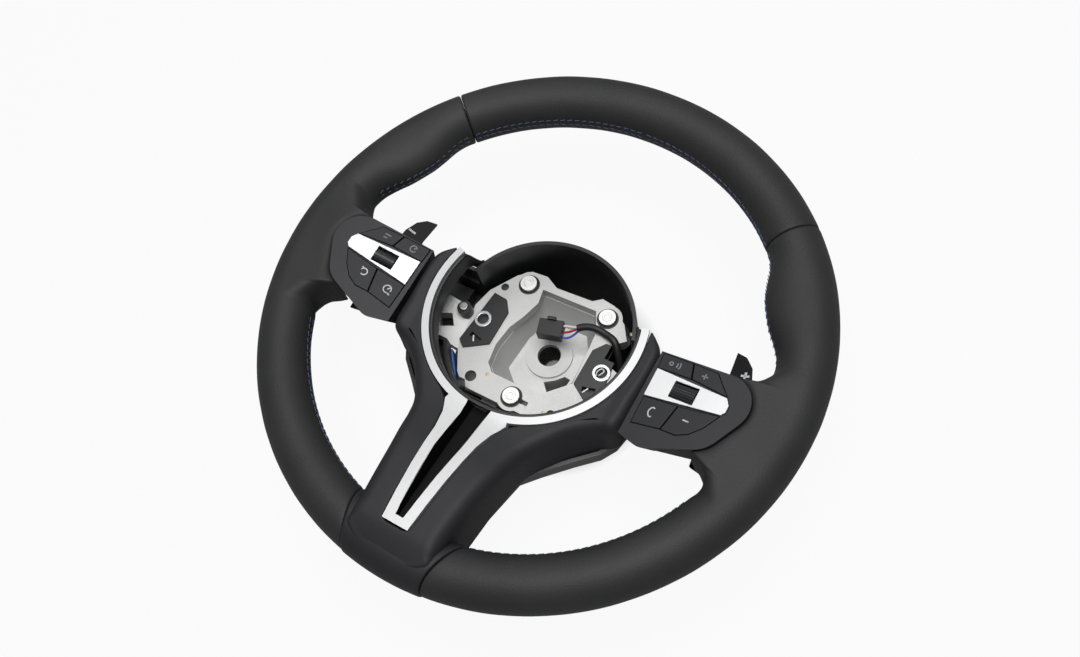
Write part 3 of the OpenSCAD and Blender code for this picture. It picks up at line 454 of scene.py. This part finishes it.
# Stitches: two rows of dark blue thread along the inner side of the rim, one
# each side of the leather's closing seam. Each is a short flattened thread.
stitch_finish = finish("stitch_thread", "sheath", (0.10, 0.13, 0.24), 0.6, 0.2)
STITCH_LENGTH = 0.0034
STITCH_RADIUS = 0.000375
STITCH_FLAT = 0.4
STITCH_PITCH = 5.6
STITCH_TILTS = (7, -7)
STITCH_LEAN = 0.18
STITCH_PROUD = 0.1


def stitch(bm, where, along, out):
    """One stitch: a short six-sided thread, flattened onto the leather."""
    across = out.cross(along)
    turn = Matrix((across, out, along)).transposed().to_4x4()
    made = bmesh.ops.create_cone(bm, segments=6, radius1=STITCH_RADIUS, radius2=STITCH_RADIUS,
                                 depth=STITCH_LENGTH, cap_ends=True,
                                 matrix=Matrix.Translation(where) @ turn)["verts"]
    for v in made:
        local = (v.co - where).dot(out)
        v.co -= out * local * STITCH_FLAT


def stitch_rows(low, high):
    """Rows of stitches on the rim's inner side between two angles, on both sides of the wheel."""
    bm = bmesh.new()
    for flip in (1, -1):
        for tilt in STITCH_TILTS:
            lean = math.copysign(STITCH_LEAN, tilt)
            tilt_sin, tilt_cos = math.sin(math.radians(tilt)), math.cos(math.radians(tilt))
            angle = low
            while angle < high:
                r = inner_reach(angle) + TUBE_R * (1 - tilt_cos) - STITCH_PROUD
                turn = math.radians(angle)
                spot = metres(r * math.cos(turn) * flip, r * math.sin(turn), tilt_sin * TUBE_R)
                along = Vector((-math.sin(turn) * flip, math.cos(turn), lean)).normalized()
                out = Vector((-math.cos(turn) * flip, -math.sin(turn), tilt_sin)).normalized()
                out = (out - along * out.dot(along)).normalized()
                stitch(bm, spot, along, out)
                angle += STITCH_PITCH * DEGREES_PER_MM
    return bm


piece("stitches_top", stitch_rows(SEAM_TOP + 1.2, 90), stitch_finish, "leather")
piece("stitches_sides", stitch_rows(14.5, SEAM_TOP - 1), stitch_finish, "leather")
piece("stitches_low", stitch_rows(-74, -25), stitch_finish, "leather")

# Spoke cover: one soft-touch moulding that frames the hub, covers the lower
# spoke and wraps the bottom of the rim. Its outer edges are well rounded and
# its sides flare toward the rear.
cover_finish = finish("soft_touch_cover", "moulded", (0.021, 0.021, 0.024), 0.55, 0.10, specular=0.32)
low_profile = [(60, 3.5), (66, 3.6), (78, 5.6), (90, 9.5), (105, 14.8), (120, 18.3), (138, 20.6), (150, 21.4),
               (158, 21.4), (165, 19.6), (172, 16.9), (180, 12.0)]
COVER_FACE = 3.5
COVER_SOFT = 1.2


def face_height(x, y):
    """Height of the cover's face over the rim's middle, with the spokes' faces blended."""
    side = COVER_FACE + max(abs(x) - ARC_R, 0) * SPOKE_RISE
    low = table(low_profile, -y)
    top = max(side, low, COVER_FACE)
    swell = math.log(sum(math.exp((h - top) / COVER_SOFT) for h in (side, low)))
    return top + COVER_SOFT * swell - COVER_SOFT * math.log(2) * math.exp(-abs(side - low))


# Points of the cover's plan from the right arc's end down to the foot, each an
# outer and an inner one, and its edge's radius and flare by the point's number
cover_pairs = [((72.4, 21.0), (71.6, 20.2)), ((76.6, 18.0), (71.9, 17.0)), ((81.2, 13.6), (72.7, 13.2)),
               ((83.4, 7.5), (73.5, 7.5)), ((83.5, -8), (73.5, -8)), ((83.5, -26), (69.2, -26)),
               ((83.2, -39), (62.1, -40)), ((80.2, -46.2), (55.6, -48.7)), ((70, -50.6), (48, -56.2)),
               ((57, -61), (38, -63.4)), ((47.5, -73.5), (27, -69.8)), ((41.2, -84), (20.6, -76.5)),
               ((38.4, -93), (17.4, -87)), ((36.8, -102), (15.0, -97.5)), ((34.0, -118), (13.2, -115)),
               ((32.2, -134), (11.8, -134)), ((30.8, -148), (10.4, -148)), ((30.0, -159), (9.2, -154.8)),
               ((28.5, -168), (6.0, -156.5)), ((15, -175), (3, -156.6)), ((0, -176.5), (0, -156.6))]
edge_round = [(0, 1.2), (1, 2.4), (3, 5.5), (6, 6.5), (8, 7.5), (16, 8.5), (18, 4.0), (20, 2.0)]
edge_flare = [(0, 0.0), (6, 0.0), (7.5, 2.5), (9, 4.5), (11, 2.5), (13, 0.5), (20, 0.0)]

STEPS = 10
COVER_WALL = 1.8
LIP_WIDTH = 0.9
LIP_SHARE = 0.2
LIP_DROP = 4.0
EDGE_DROP = 1.15
SKIRT_Z = -23.6
outer_line = catmull([Vector(p) for p, q in cover_pairs], STEPS)
inner_line = catmull([Vector(q) for p, q in cover_pairs], STEPS)
outer_line += [Vector((-p.x, p.y)) for p in reversed(outer_line[:-1])]
inner_line += [Vector((-p.x, p.y)) for p in reversed(inner_line[:-1])]
half = (len(cover_pairs) - 1) * STEPS
cover_rows = []
for i, (p, q) in enumerate(zip(outer_line, inner_line)):
    place = (i if i <= half else 2 * half - i) / STEPS
    radius = table(edge_round, place)
    flare = table(edge_flare, place)
    before, after = outer_line[max(i - 1, 0)], outer_line[min(i + 1, len(outer_line) - 1)]
    along = (after - before).normalized()
    out = Vector((-along.y, along.x))
    if out.dot(p - q) < 0:
        out = -out
    across = (p - q).normalized()
    width = (p - q).length
    radius = min(radius, 0.45 * width)
    inset = p - out * radius
    wall = min(COVER_WALL, 0.3 * width)
    row = []
    for over, drop in ((0, LIP_DROP), (0, 1.0), (0.12, 0.35), (0.4, 0.06), (LIP_WIDTH, 0.0)):
        spot = q + across * min(over, LIP_SHARE * width)
        row.append((spot.x, spot.y, face_height(spot.x, spot.y) - drop))
    start = q + across * min(LIP_WIDTH, LIP_SHARE * width)
    for k in range(1, 8):
        spot = start.lerp(inset, k / 7)
        row.append((spot.x, spot.y, face_height(spot.x, spot.y)))
    top = face_height(inset.x, inset.y)
    for a in (15, 30, 45, 60, 75, 90):
        spot = inset + out * radius * math.sin(math.radians(a))
        row.append((spot.x, spot.y, top - radius * EDGE_DROP * (1 - math.cos(math.radians(a)))))
    low = top - radius * EDGE_DROP
    for share in (0.25, 0.5, 0.75, 1.0):
        spot = p + out * flare * share ** 1.3
        row.append((spot.x, spot.y, low + (SKIRT_Z - low) * share))
    for share in (1.0, 0.5, 0.0):
        spot = p + out * (flare * share ** 1.3 - wall)
        row.append((spot.x, spot.y, low + (SKIRT_Z - low) * share))
    for k in (7, 5, 3, 1):
        spot = start.lerp(inset, k / 7)
        row.append((spot.x, spot.y, face_height(spot.x, spot.y) - COVER_WALL))
    spot = q + across * wall
    row.append((spot.x, spot.y, face_height(spot.x, spot.y) - LIP_DROP))
    cover_rows.append([metres(*c) for c in row])
piece("spoke_cover_shell", loft(cover_rows, capped=True), cover_finish, "cover_plastic",
      stands_for=["spoke_cover"], smooth=50)

# Its band round the bottom of the rim, with both edges tucked to the leather
WRAP_OVER = 0.6
WRAP_SIDES = 64
SEAM_GAP = 0.1
wrap_rings = []
wrap_r = TUBE_R + WRAP_OVER
for share, sink in ((-1, 1.6), (-0.996, 0.7), (-0.985, 0.2), (-0.955, 0)) + tuple(
        (-0.9 + 0.09 * k, 0) for k in range(0, 21)) + ((0.955, 0), (0.985, 0.2), (0.996, 0.7), (1, 1.6)):
    ring = []
    for k in range(WRAP_SIDES):
        a = 2 * math.pi * k / WRAP_SIDES
        r, z = RING_R + (wrap_r - sink) * math.cos(a), (wrap_r - sink) * math.sin(a)
        x = share * (seam_x(RING_R + TUBE_R * math.cos(a)) - SEAM_GAP)
        turn = -math.pi / 2 + math.asin(x / r)
        ring.append(metres(r * math.cos(turn), r * math.sin(turn), z))
    wrap_rings.append(ring)
piece("rim_wrap", loft(wrap_rings, capped=True), cover_finish, "cover_plastic", smooth=60)

# Ring of the hub opening: a black moulding clipped into the cover, with a lip
# beside the silver arc and a wall down into the hub. Both ends sink inward.
ring_finish = finish("hub_ring_plastic", "moulded", (0.013, 0.013, 0.015), 0.36, 0.06)
ring_section = [(68.3, 0.4), (68.3, 3.0), (68.0, 3.35), (67.2, 3.45), (66.5, 3.2), (66.15, 2.5), (66.1, -2),
                (66.1, -11), (66.6, -11.6), (67.6, -11.6), (67.6, -1.0)]
RING_STEPS = 120
RING_START, RING_SPAN = -205, 230
RING_END_FROM, RING_END_TO = 106, 114.5
RING_DROP = 16.5
RING_INWARD = 3.4
ring_rings = []
for k in range(0, RING_STEPS + 1):
    angle = RING_START + RING_SPAN * k / RING_STEPS
    past_end = ease(abs(angle + 90), RING_END_FROM, RING_END_TO)
    drop, inward = RING_DROP * past_end, RING_INWARD * past_end
    turn = math.radians(angle)
    ring_rings.append([metres((r - inward) * math.cos(turn), (r - inward) * math.sin(turn), z - drop)
                       for r, z in ring_section])
piece("hub_ring", loft(ring_rings, capped=True), ring_finish, "cover_plastic", smooth=35)

# Silver trim: a satin galvanised moulding, the arc under the hub opening and
# the two legs down the lower spoke.
trim_finish = finish("satin_silver", "brushed", (0.66, 0.66, 0.66), 0.36, 0.05, metal=0.3)
dressed("silver_trim", "trim", trim_finish, "trim_silver", 0.35)
# Near-black of the groove's own part, darker than the black plastics: partly its own black, partly painted
# shade of the deep groove. The painted shade sheet below uses it too.
groove_black_and_shade_finish = finish("groove_black_and_painted_shade", "moulded", (0.002, 0.002, 0.002), 0.5, 0.02, specular=0.12)
dressed("trim_groove", "trim_slot", groove_black_and_shade_finish, "slot_black", 0.2)

# Painted shade of the groove: a thin near-black sheet on the inner slopes of the
# silver legs, laid on faces copied from the trim, that darkens the groove.
SHADE_SHEET_RISE = 0.00008
SHADE_SHEET_THICK = 0.0003
SHADE_SHEET_HALF_WIDTH = 16
SHADE_SHEET_FOOT_Y, SHADE_SHEET_TOP_Y = -152, -62
bm = bmesh.new()
bm.from_mesh(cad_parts["trim"].data)
bmesh.ops.remove_doubles(bm, verts=bm.verts, dist=0.000001)
bm.normal_update()
outside = []
for f in bm.faces:
    middle = f.calc_center_median() * 1000
    slopes_in = -f.normal.x * math.copysign(1, middle.x) > 0.25 and f.normal.z > 0.05
    beside = SHADE_SHEET_FOOT_Y < middle.y < SHADE_SHEET_TOP_Y and abs(middle.x) < SHADE_SHEET_HALF_WIDTH
    if not (slopes_in and beside):
        outside.append(f)
bmesh.ops.delete(bm, geom=outside, context="FACES")
for v in bm.verts:
    v.co += v.normal * SHADE_SHEET_RISE
bmesh.ops.solidify(bm, geom=list(bm.faces), thickness=SHADE_SHEET_THICK)
bmesh.ops.recalc_face_normals(bm, faces=bm.faces)
piece("groove_painted_shade", bm, groove_black_and_shade_finish, "slot_black")

# Rear mouldings: the bowl round the hub and the back of the lower spoke, in
# black plastic and screwed on from behind. A rib beside the bowl stiffens each
# side and closes the notch over the arm.
RIB_START = 61.5
RIB_Y, RIB_Z = 21.5, 54
RIB_THICK, RIB_HEIGHT = 0.003, 0.026
rear_finish = finish("rear_plastic", "moulded", (0.014, 0.014, 0.015), 0.34, 0.10)
dressed("rear_shroud", "rear_cover", rear_finish, "rear_plastic", 0.7)
dressed("spoke_back", "lower_back", rear_finish, "rear_plastic", 1.0)


def block(bm, place, size, edge):
    """A box with broken edges, of a size in metres, put where the matrix says."""
    made = set(bmesh.ops.create_cube(bm, size=1, matrix=place @ Matrix.Diagonal((*size, 1)))["verts"])
    edges = [e for e in bm.edges if e.verts[0] in made]
    bmesh.ops.bevel(bm, geom=edges, offset=edge, segments=2, profile=0.5, affect="EDGES", material=-1)


bm = bmesh.new()
for side, reach in ((-1, 81.0), (1, 73.0)):
    place = Matrix.Translation(Vector((side * (RIB_START + reach) / 2, RIB_Y, RIB_Z)) / 1000)
    block(bm, place, ((reach - RIB_START) / 1000, RIB_THICK, RIB_HEIGHT), 0.0006)
piece("shroud_ribs", bm, rear_finish, "rear_plastic", smooth=40)

# Hub casting: plate, arms and boss die-cast in one piece of light metal, with
# the cast ring of the rim. Its faces are rough from the mould.
casting_finish = finish("die_cast_metal", "cast", (0.56, 0.56, 0.55), 0.46, 0.34, metal=0.55)
dressed("hub_casting", "armature", casting_finish, "casting", 0.6)

# Switch packs: satin black housings clipped on the arms, with a lower wall that
# tapers inward. Each holds a silver insert and four soft keys, the left one a
# rocker too, and the right one a ribbed roller in its cradle.
TAPER = 0.00036
TAPER_FROM = 1
TAPER_BELOW_Y = -30
TAPER_FADE = (28, 50)
PACK_FACE_Z = 6.03
housing_finish = finish("pack_housing", "moulded", (0.021, 0.021, 0.024), 0.46, 0.08, specular=0.36)
insert_finish = finish("insert_silver", "brushed", (0.78, 0.78, 0.78), 0.36, 0.10, metal=0.35)
button_finish = finish("button_soft", "moulded", (0.016, 0.016, 0.018), 0.50, 0.08, specular=0.36)
roller_finish = finish("roller_black", "moulded", (0.014, 0.015, 0.016), 0.34, 0.05)
for side in ("left", "right"):
    housing = dressed("pack_housing_" + side, "housing_" + side, housing_finish, "housing_plastic", 0.5)
    for v in housing.data.vertices:
        across, over = abs(v.co.x) * 1000 - PACK_X, v.co.z * 1000 - RIM_Z - PACK_FACE_Z
        depth = across * math.sin(SPOKE_TILT) - over * math.cos(SPOKE_TILT)
        if depth > TAPER_FROM and v.co.y * 1000 < TAPER_BELOW_Y:
            v.co.y += TAPER * (depth - TAPER_FROM) * (1 - ease(across, *TAPER_FADE))
    dressed("silver_insert_" + side, "insert_" + side, insert_finish, "insert_silver", 0.3)
    for k in (1, 2, 3, 4):
        node = "button_%s_%d" % (side, k)
        dressed("key_%s_%d" % (side, k), node, button_finish, "button_plastic", 0.45, body=node)
dressed("speed_rocker", "rocker_left", roller_finish, "roller_plastic", 0.15, body="rocker_left")
dressed("ribbed_roller", "roller_right", roller_finish, "roller_plastic", 0.12, body="roller_right")
cradle_finish = finish("cradle_black", "moulded", (0.010, 0.010, 0.011), 0.45, 0.08)
dressed("roller_cradle", "cradle_right", cradle_finish, "boss_plastic", 0.15, body="cradle_right")

# Shift paddles: two blades moulded in black plastic that turn on pins in their
# hinge bases, which are fixed behind the side spokes.
paddle_finish = finish("paddle_black", "moulded", (0.006, 0.006, 0.007), 0.5, 0.06, specular=0.22)
for side in ("left", "right"):
    dressed("shift_paddle_" + side, "paddle_" + side, paddle_finish, "paddle_plastic", 0.9,
            body="paddle_" + side)
    dressed("paddle_mount_" + side, "paddle_base_" + side, cradle_finish, "boss_plastic", 0.4)

# Printed marks on the keys and paddles: thin light-grey strokes that lie on the
# faces, in plain generic shapes.
print_finish = finish("printed_mark", "moulded", (0.50, 0.51, 0.53), 0.5, 0.0)
faint_finish = finish("faint_mark", "moulded", (0.17, 0.175, 0.19), 0.5, 0.0)
MARK_RISE = 0.00012
MARK_SINK = 0.0001
MARK_WIDTH = 0.8
PADDLE_MARK_WIDTH = 1.5
PADDLE_MARK_X, PADDLE_MARK_Y = 129.5, 33.4
PADDLE_MARK_TILT = 8
PRINT_INSET = 1.2


def arc(x, y, radius, start, end, steps=10):
    """Points along an arc."""
    turns = [math.radians(start + (end - start) * k / steps) for k in range(steps + 1)]
    return [(x + radius * math.cos(a), y + radius * math.sin(a)) for a in turns]


def printed(name, node, centre, strokes, width, material, tilt=0.0):
    """Flat strokes laid on a node's upper face; the centre and strokes are in millimetres."""
    tree = BVHTree.FromPolygons([v.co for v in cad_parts[node].data.vertices],
                                [tuple(f.vertices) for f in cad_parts[node].data.polygons])
    turn = Matrix.Rotation(math.radians(tilt), 2)
    joined = bmesh.new()
    for stroke in strokes:
        line = []
        for a, b in zip(stroke, stroke[1:]):
            a, b = Vector(a), Vector(b)
            line += [a.lerp(b, k / 4) for k in range(4)]
        line.append(Vector(stroke[-1]))
        rings = []
        for i, p in enumerate(line):
            along = turn @ (line[min(i + 1, len(line) - 1)] - line[max(i - 1, 0)]).normalized()
            at = (Vector(centre) + turn @ p) / 1000
            hit, normal, _, _ = tree.ray_cast(Vector((at.x, at.y, 0.3)), Vector((0, 0, -1)))
            if hit is None:
                continue
            run = Vector((along.x, along.y, 0))
            side = run.cross(normal).normalized() * width / 2000
            rings.append([hit + side - normal * MARK_SINK, hit + side + normal * MARK_RISE,
                          hit - side + normal * MARK_RISE, hit - side - normal * MARK_SINK])
        if len(rings) < 2:
            continue
        part = loft(rings, capped=True)
        mesh = bpy.data.meshes.new("stroke")
        part.to_mesh(mesh)
        part.free()
        joined.from_mesh(mesh)
        bpy.data.meshes.remove(mesh)
    return piece(name, joined, material, "insert_silver", body=node)


def on_pack(u, v, flip):
    """A point of the pack's face in the wheel's plane."""
    return (flip * (PACK_X + u * math.cos(SPOKE_TILT) - PRINT_INSET), v)


plus = [[(-1.9, 0), (1.9, 0)], [(0, -1.9), (0, 1.9)]]
minus = [[(-1.9, 0), (1.9, 0)]]
handset = [arc(2.6, 0, 3.6, 118, 242), [(0.9, 3.2), (2.0, 2.6)], [(0.9, -3.2), (2.0, -2.6)]]
speech = [arc(-2.4, 0, 1.1, 0, 360), arc(-0.6, 0, 2.2, -40, 40), arc(0.4, 0, 3.0, -42, 42)]
back_turn = [arc(0, 0, 2.3, -120, 120), [(-2.6, 2.9), (-1.1, 2.0), (-2.4, 0.9)]]
gauge = [arc(0, 0, 2.7, -20, 290), [(0, 0), (1.7, 1.7)], [(1.4, -2.4), (3.2, -3.2)]]
dial = [arc(0, 0, 2.3, 20, 330), [(0, 0), (1.5, 0.9)]]
bars = [[(-2.3, 1.2), (2.3, 1.2)], [(-2.3, -1.2), (0.6, -1.2)]]
pack_marks = [("right", "speech", 13, 5.8, speech, faint_finish),
              ("right", "plus", 33, 5.0, plus, faint_finish),
              ("right", "handset", 13, -27, handset, print_finish),
              ("right", "minus", 35, -24.5, minus, print_finish),
              ("left", "bars", 33, 5.0, bars, faint_finish),
              ("left", "dial", 13, 5.8, dial, faint_finish),
              ("left", "back_turn", 33, -24, back_turn, print_finish),
              ("left", "gauge", 13, -27, gauge, print_finish)]
for side, label, u, v, strokes, material in pack_marks:
    spot = on_pack(u, v, 1 if side == "right" else -1)
    middle = Vector((*spot, 0))
    keys = ["button_%s_%d" % (side, k) for k in (1, 2, 3, 4)]
    node = min(keys, key=lambda key: (sum(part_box(key), Vector()) / 2 * 1000 - middle).xy.length)
    printed("mark_" + label, node, spot, strokes, MARK_WIDTH, material)
level = [(-2.7, 0), (2.7, 0)]
upright = [(0, -2.7), (0, 2.7)]
printed("mark_paddle_plus", "paddle_right", (PADDLE_MARK_X, PADDLE_MARK_Y), [level, upright],
        PADDLE_MARK_WIDTH, print_finish, tilt=PADDLE_MARK_TILT)
printed("mark_paddle_minus", "paddle_left", (-PADDLE_MARK_X, PADDLE_MARK_Y), [level], PADDLE_MARK_WIDTH,
        print_finish, tilt=-PADDLE_MARK_TILT)

# Small parts of the hub: zinc contact pins in black sleeves, wire brackets with
# steel eyelets, the blue side plug and its wire, the control unit and the boss
# with its screw. All are fixed to the casting, and only the pins move.
pin_finish = finish("zinc_pin", "brushed", (0.80, 0.81, 0.80), 0.42, 0.05, metal=0.55)
for pin in ("left", "right", "low"):
    dressed("contact_pin_" + pin, "pin_" + pin, pin_finish, "pin_metal", 0.3, body="pin_" + pin)
eyelet_finish = finish("eyelet_steel", "brushed", (0.66, 0.67, 0.68), 0.26, 0.05, metal=0.9)
blue_finish = finish("blue_plug", "moulded", (0.045, 0.13, 0.36), 0.40, 0.05)
screw_finish = finish("screw_steel", "brushed", (0.60, 0.62, 0.63), 0.25, 0.05, metal=0.9)
dressed("pin_sleeve_set", "pin_sleeves", black_finish, "sleeve_plastic", 0.2)
for side in ("left", "right"):
    dressed("wire_bracket_" + side, "bracket_" + side, black_finish, "bracket_plastic", 0.4)
    dressed("eyelet_ring_" + side, "eyelet_" + side, eyelet_finish, "eyelet_metal", 0.25)
dressed("blue_plug_body", "side_connector", blue_finish, "plug_blue", 0.4)
dressed("control_unit", "control_module", black_finish, "boss_plastic", 0.3)
dressed("screw_boss", "side_boss", black_finish, "boss_plastic", 0.3)
dressed("boss_screw", "side_screw", screw_finish, "screw_metal", 0.25)
set_material(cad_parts["side_wire"], wire_finishes["wire_red"])

# Plugs of the hub: dark plastic discs pressed into the blind holes of the plate
# and into the two eyelets.
PLATE_TOP = 51.0
HOLES = [(-45.5, 24.5, 2.7), (-32.8, -43.5, 3.9), (29.4, -43.5, 2.9)]
EYELET_X, EYELET_Y, EYELET_PLUG_R = 46, -4, 3.95


def disc(bm, x, y, z, radius, height, segments=24):
    """A short upright cylinder with a broken upper edge, its top at z over the rear face."""
    place = Matrix.Translation(Vector((x, y, z - height / 2)) / 1000)
    made = set(bmesh.ops.create_cone(bm, segments=segments, radius1=radius / 1000, radius2=radius / 1000,
                                     depth=height / 1000, cap_ends=True, matrix=place)["verts"])
    top = max(v.co.z for v in made) - 0.00001
    rim = [e for e in bm.edges if all(v in made and v.co.z > top for v in e.verts)]
    bmesh.ops.bevel(bm, geom=rim, offset=min(radius, height) / 6000, segments=2, profile=0.5, affect="EDGES",
                    material=-1)


bm = bmesh.new()
for x, y, radius in HOLES:
    disc(bm, x, y, PLATE_TOP - 1.0, radius, 2.8)
for side in (-1, 1):
    disc(bm, side * EYELET_X, EYELET_Y, PLATE_TOP + 0.2, EYELET_PLUG_R, 4)
plug_finish = finish("plug_grey", "moulded", (0.018, 0.019, 0.019), 0.5, 0.1)
piece("hole_plugs", bm, plug_finish, "boss_plastic", smooth=30)

# Splines of the bore: 36 fine teeth broached into the steel sleeve of the boss,
# which take the column's shaft.
SPLINE_POINTS = 144
SPLINE_DEEP_R, SPLINE_TIP_R, SLEEVE_R = 8.15, 7.5, 8.22
SPLINE_LOW_Z, SPLINE_TOP_Z = 1.5, 24.0
tooth = (SPLINE_DEEP_R, SPLINE_DEEP_R, SPLINE_TIP_R, SPLINE_TIP_R)


def bore_ring(radii, z):
    """A ring of points round the bore, its radius repeating through a list."""
    turns = [math.radians(360 * k / SPLINE_POINTS) for k in range(SPLINE_POINTS)]
    return [Vector((radii[k % len(radii)] * math.cos(a), radii[k % len(radii)] * math.sin(a), z)) / 1000
            for k, a in enumerate(turns)]


spline_rings = [bore_ring(tooth, SPLINE_LOW_Z), bore_ring(tooth, SPLINE_TOP_Z),
                bore_ring((SLEEVE_R,), SPLINE_TOP_Z), bore_ring((SLEEVE_R,), SPLINE_LOW_Z)]
bm = loft(spline_rings + spline_rings[:1])
bmesh.ops.remove_doubles(bm, verts=bm.verts, dist=0.000001)
bmesh.ops.recalc_face_normals(bm, faces=bm.faces)
bore_finish = finish("bore_steel", "cast", (0.05, 0.05, 0.05), 0.5, 0.2, metal=0.6)
piece("bore_splines", bm, bore_finish, "casting", smooth=20)

# Clips and loop of the brackets: two white plastic clips pressed in beside the
# brackets, and a thin white wire looped through the right eyelet.
CLIPS = [(-44.5, -19.5, -62), (42.5, -19.5, 62)]
CLIP_RISE = 1.9
CLIP_SIZE = (0.0048, 0.0010, 0.0016)
bm = bmesh.new()
for x, y, turn in CLIPS:
    place = Matrix.Translation(Vector((x, y, PLATE_TOP + CLIP_RISE)) / 1000)
    block(bm, place @ Matrix.Rotation(math.radians(turn), 4, "Z"), CLIP_SIZE, 0.00025)
clip_finish = finish("clip_white", "moulded", (0.75, 0.75, 0.73), 0.4, 0.05)
piece("bracket_clips", bm, clip_finish, "wire_white", smooth=40)

loop_route = [(44.0, -7.5, 53.4), (43.6, -4.5, 54.4), (45.6, -1.8, 54.6), (47.6, -2.6, 54.4),
              (46.6, -5.0, 54.0), (45.4, -6.2, 53.0)]
loop_line = catmull([Vector(p) / 1000 for p in loop_route], 5)
piece("eyelet_wire_loop", loft(tube_rings(loop_line, 0.0009, 8), capped=True), wire_finishes["wire_white"],
      "wire_white")

# Rivets and key tab: brass rivets in the plate, and the small black tab that
# keys the low pin's sleeve against turning.
RIVETS = [(-23, -37.5), (24.5, -44.5), (50.5, 30)]
bm = bmesh.new()
for x, y in RIVETS:
    disc(bm, x, y, PLATE_TOP + 0.25, 1.3, 1.0, segments=16)
brass_finish = finish("brass_mark", "brushed", (0.55, 0.44, 0.24), 0.5, 0.1, metal=0.5)
piece("brass_marks", bm, brass_finish, "screw_metal", smooth=30)

KEY_Y = -44.2
KEY_DOT_X, KEY_TAB_X = 7.6, 9.8
bm = bmesh.new()
disc(bm, KEY_DOT_X, KEY_Y, PLATE_TOP + 0.5, 1.7, 2.4, segments=20)
place = Matrix.Translation(Vector((KEY_TAB_X, KEY_Y, PLATE_TOP + 0.1)) / 1000)
block(bm, place, (0.0050, 0.0026, 0.0018), 0.0003)
piece("pin_key_tab", bm, black_finish, "sleeve_plastic", smooth=40)

# Rivet of the groove: a small steel head at the lower end of the groove, which
# holds the trim down.
RIVET_RADIUS = 0.0016
RIVET_PLACE = (0, -0.1475, 0.0985)
RIVET_FLAT = 0.5
groove_rivet = bmesh.new()
bmesh.ops.create_uvsphere(groove_rivet, u_segments=16, v_segments=10, radius=RIVET_RADIUS,
                          matrix=Matrix.Translation(RIVET_PLACE) @ Matrix.Diagonal((1, 1, RIVET_FLAT, 1)))
piece("groove_rivet", groove_rivet, eyelet_finish, "eyelet_metal", smooth=60)

# Floor and light: a pale studio floor that the camera sees as white but for a painted
# shadow under the hub, a large soft lamp over the wheel and a weaker one behind it.
floor_material = bpy.data.materials.new("studio_floor")
floor_material.use_nodes = True
nodes, links = floor_material.node_tree.nodes, floor_material.node_tree.links
floor_shader = nodes["Principled BSDF"]
floor_shader.inputs["Base Color"].default_value = (0.50, 0.50, 0.50, 1)
floor_shader.inputs["Roughness"].default_value = 0.9
floor_shader.inputs["Specular IOR Level"].default_value = 0.1
glow = nodes.new("ShaderNodeEmission")
glow.inputs["Strength"].default_value = 1.0
seen = nodes.new("ShaderNodeLightPath")
place = nodes.new("ShaderNodeTexCoord")
# Painted shadow under the hub: the glow that the camera sees fades out between 8 and 5 cm from the floor's
# middle, so under the wheel the floor shows only its own lit shading.
apart = nodes.new("ShaderNodeVectorMath")
apart.operation = "LENGTH"
links.new(place.outputs["Object"], apart.inputs[0])
hub_shadow_mask = nodes.new("ShaderNodeMapRange")
hub_shadow_mask.inputs["From Min"].default_value = 0.05
hub_shadow_mask.inputs["From Max"].default_value = 0.08
hub_shadow_mask.inputs["To Max"].default_value = 0.93
links.new(apart.outputs["Value"], hub_shadow_mask.inputs["Value"])
share = nodes.new("ShaderNodeMath")
share.operation = "MULTIPLY"
links.new(hub_shadow_mask.outputs["Result"], share.inputs[1])
blend = nodes.new("ShaderNodeMixShader")
links.new(seen.outputs["Is Camera Ray"], share.inputs[0])
links.new(share.outputs["Value"], blend.inputs["Fac"])
links.new(floor_shader.outputs["BSDF"], blend.inputs[1])
links.new(glow.outputs["Emission"], blend.inputs[2])
links.new(blend.outputs["Shader"], nodes["Material Output"].inputs["Surface"])
bm = bmesh.new()
bmesh.ops.create_grid(bm, x_segments=1, y_segments=1, size=6)
mesh = bpy.data.meshes.new("studio_floor")
bm.to_mesh(mesh)
bm.free()
floor = bpy.data.objects.new("studio_floor", mesh)
floor.data.materials.append(floor_material)
bpy.context.scene.collection.objects.link(floor)

world = bpy.data.worlds.new("studio")
bpy.context.scene.world = world
world.use_nodes = True
nodes, links = world.node_tree.nodes, world.node_tree.links
soft = nodes["Background"]
soft.inputs["Color"].default_value = (0.93, 0.95, 1.0, 1)
soft.inputs["Strength"].default_value = 0.13
white = nodes.new("ShaderNodeBackground")
white.inputs["Strength"].default_value = 1.0
seen = nodes.new("ShaderNodeLightPath")
mix = nodes.new("ShaderNodeMixShader")
links.new(seen.outputs["Is Camera Ray"], mix.inputs["Fac"])
links.new(soft.outputs["Background"], mix.inputs[1])
links.new(white.outputs["Background"], mix.inputs[2])
links.new(mix.outputs["Shader"], nodes["World Output"].inputs["Surface"])


def lamp(name, where, aim, size, power):
    """A round soft lamp at a place, turned to a point."""
    data = bpy.data.lights.new(name, "AREA")
    data.shape = "DISK"
    data.size = size
    data.energy = power
    made = bpy.data.objects.new(name, data)
    turn = (Vector(aim) - Vector(where)).to_track_quat("-Z", "Y")
    made.matrix_world = Matrix.Translation(where) @ turn.to_matrix().to_4x4()
    bpy.context.scene.collection.objects.link(made)


lamp("key_light", (0.1, 0.0, 1.4), (0, 0, 0.08), 1.0, 17)
lamp("back_light", (-0.7, 0.9, 1.1), (0, 0, 0.08), 0.7, 3)
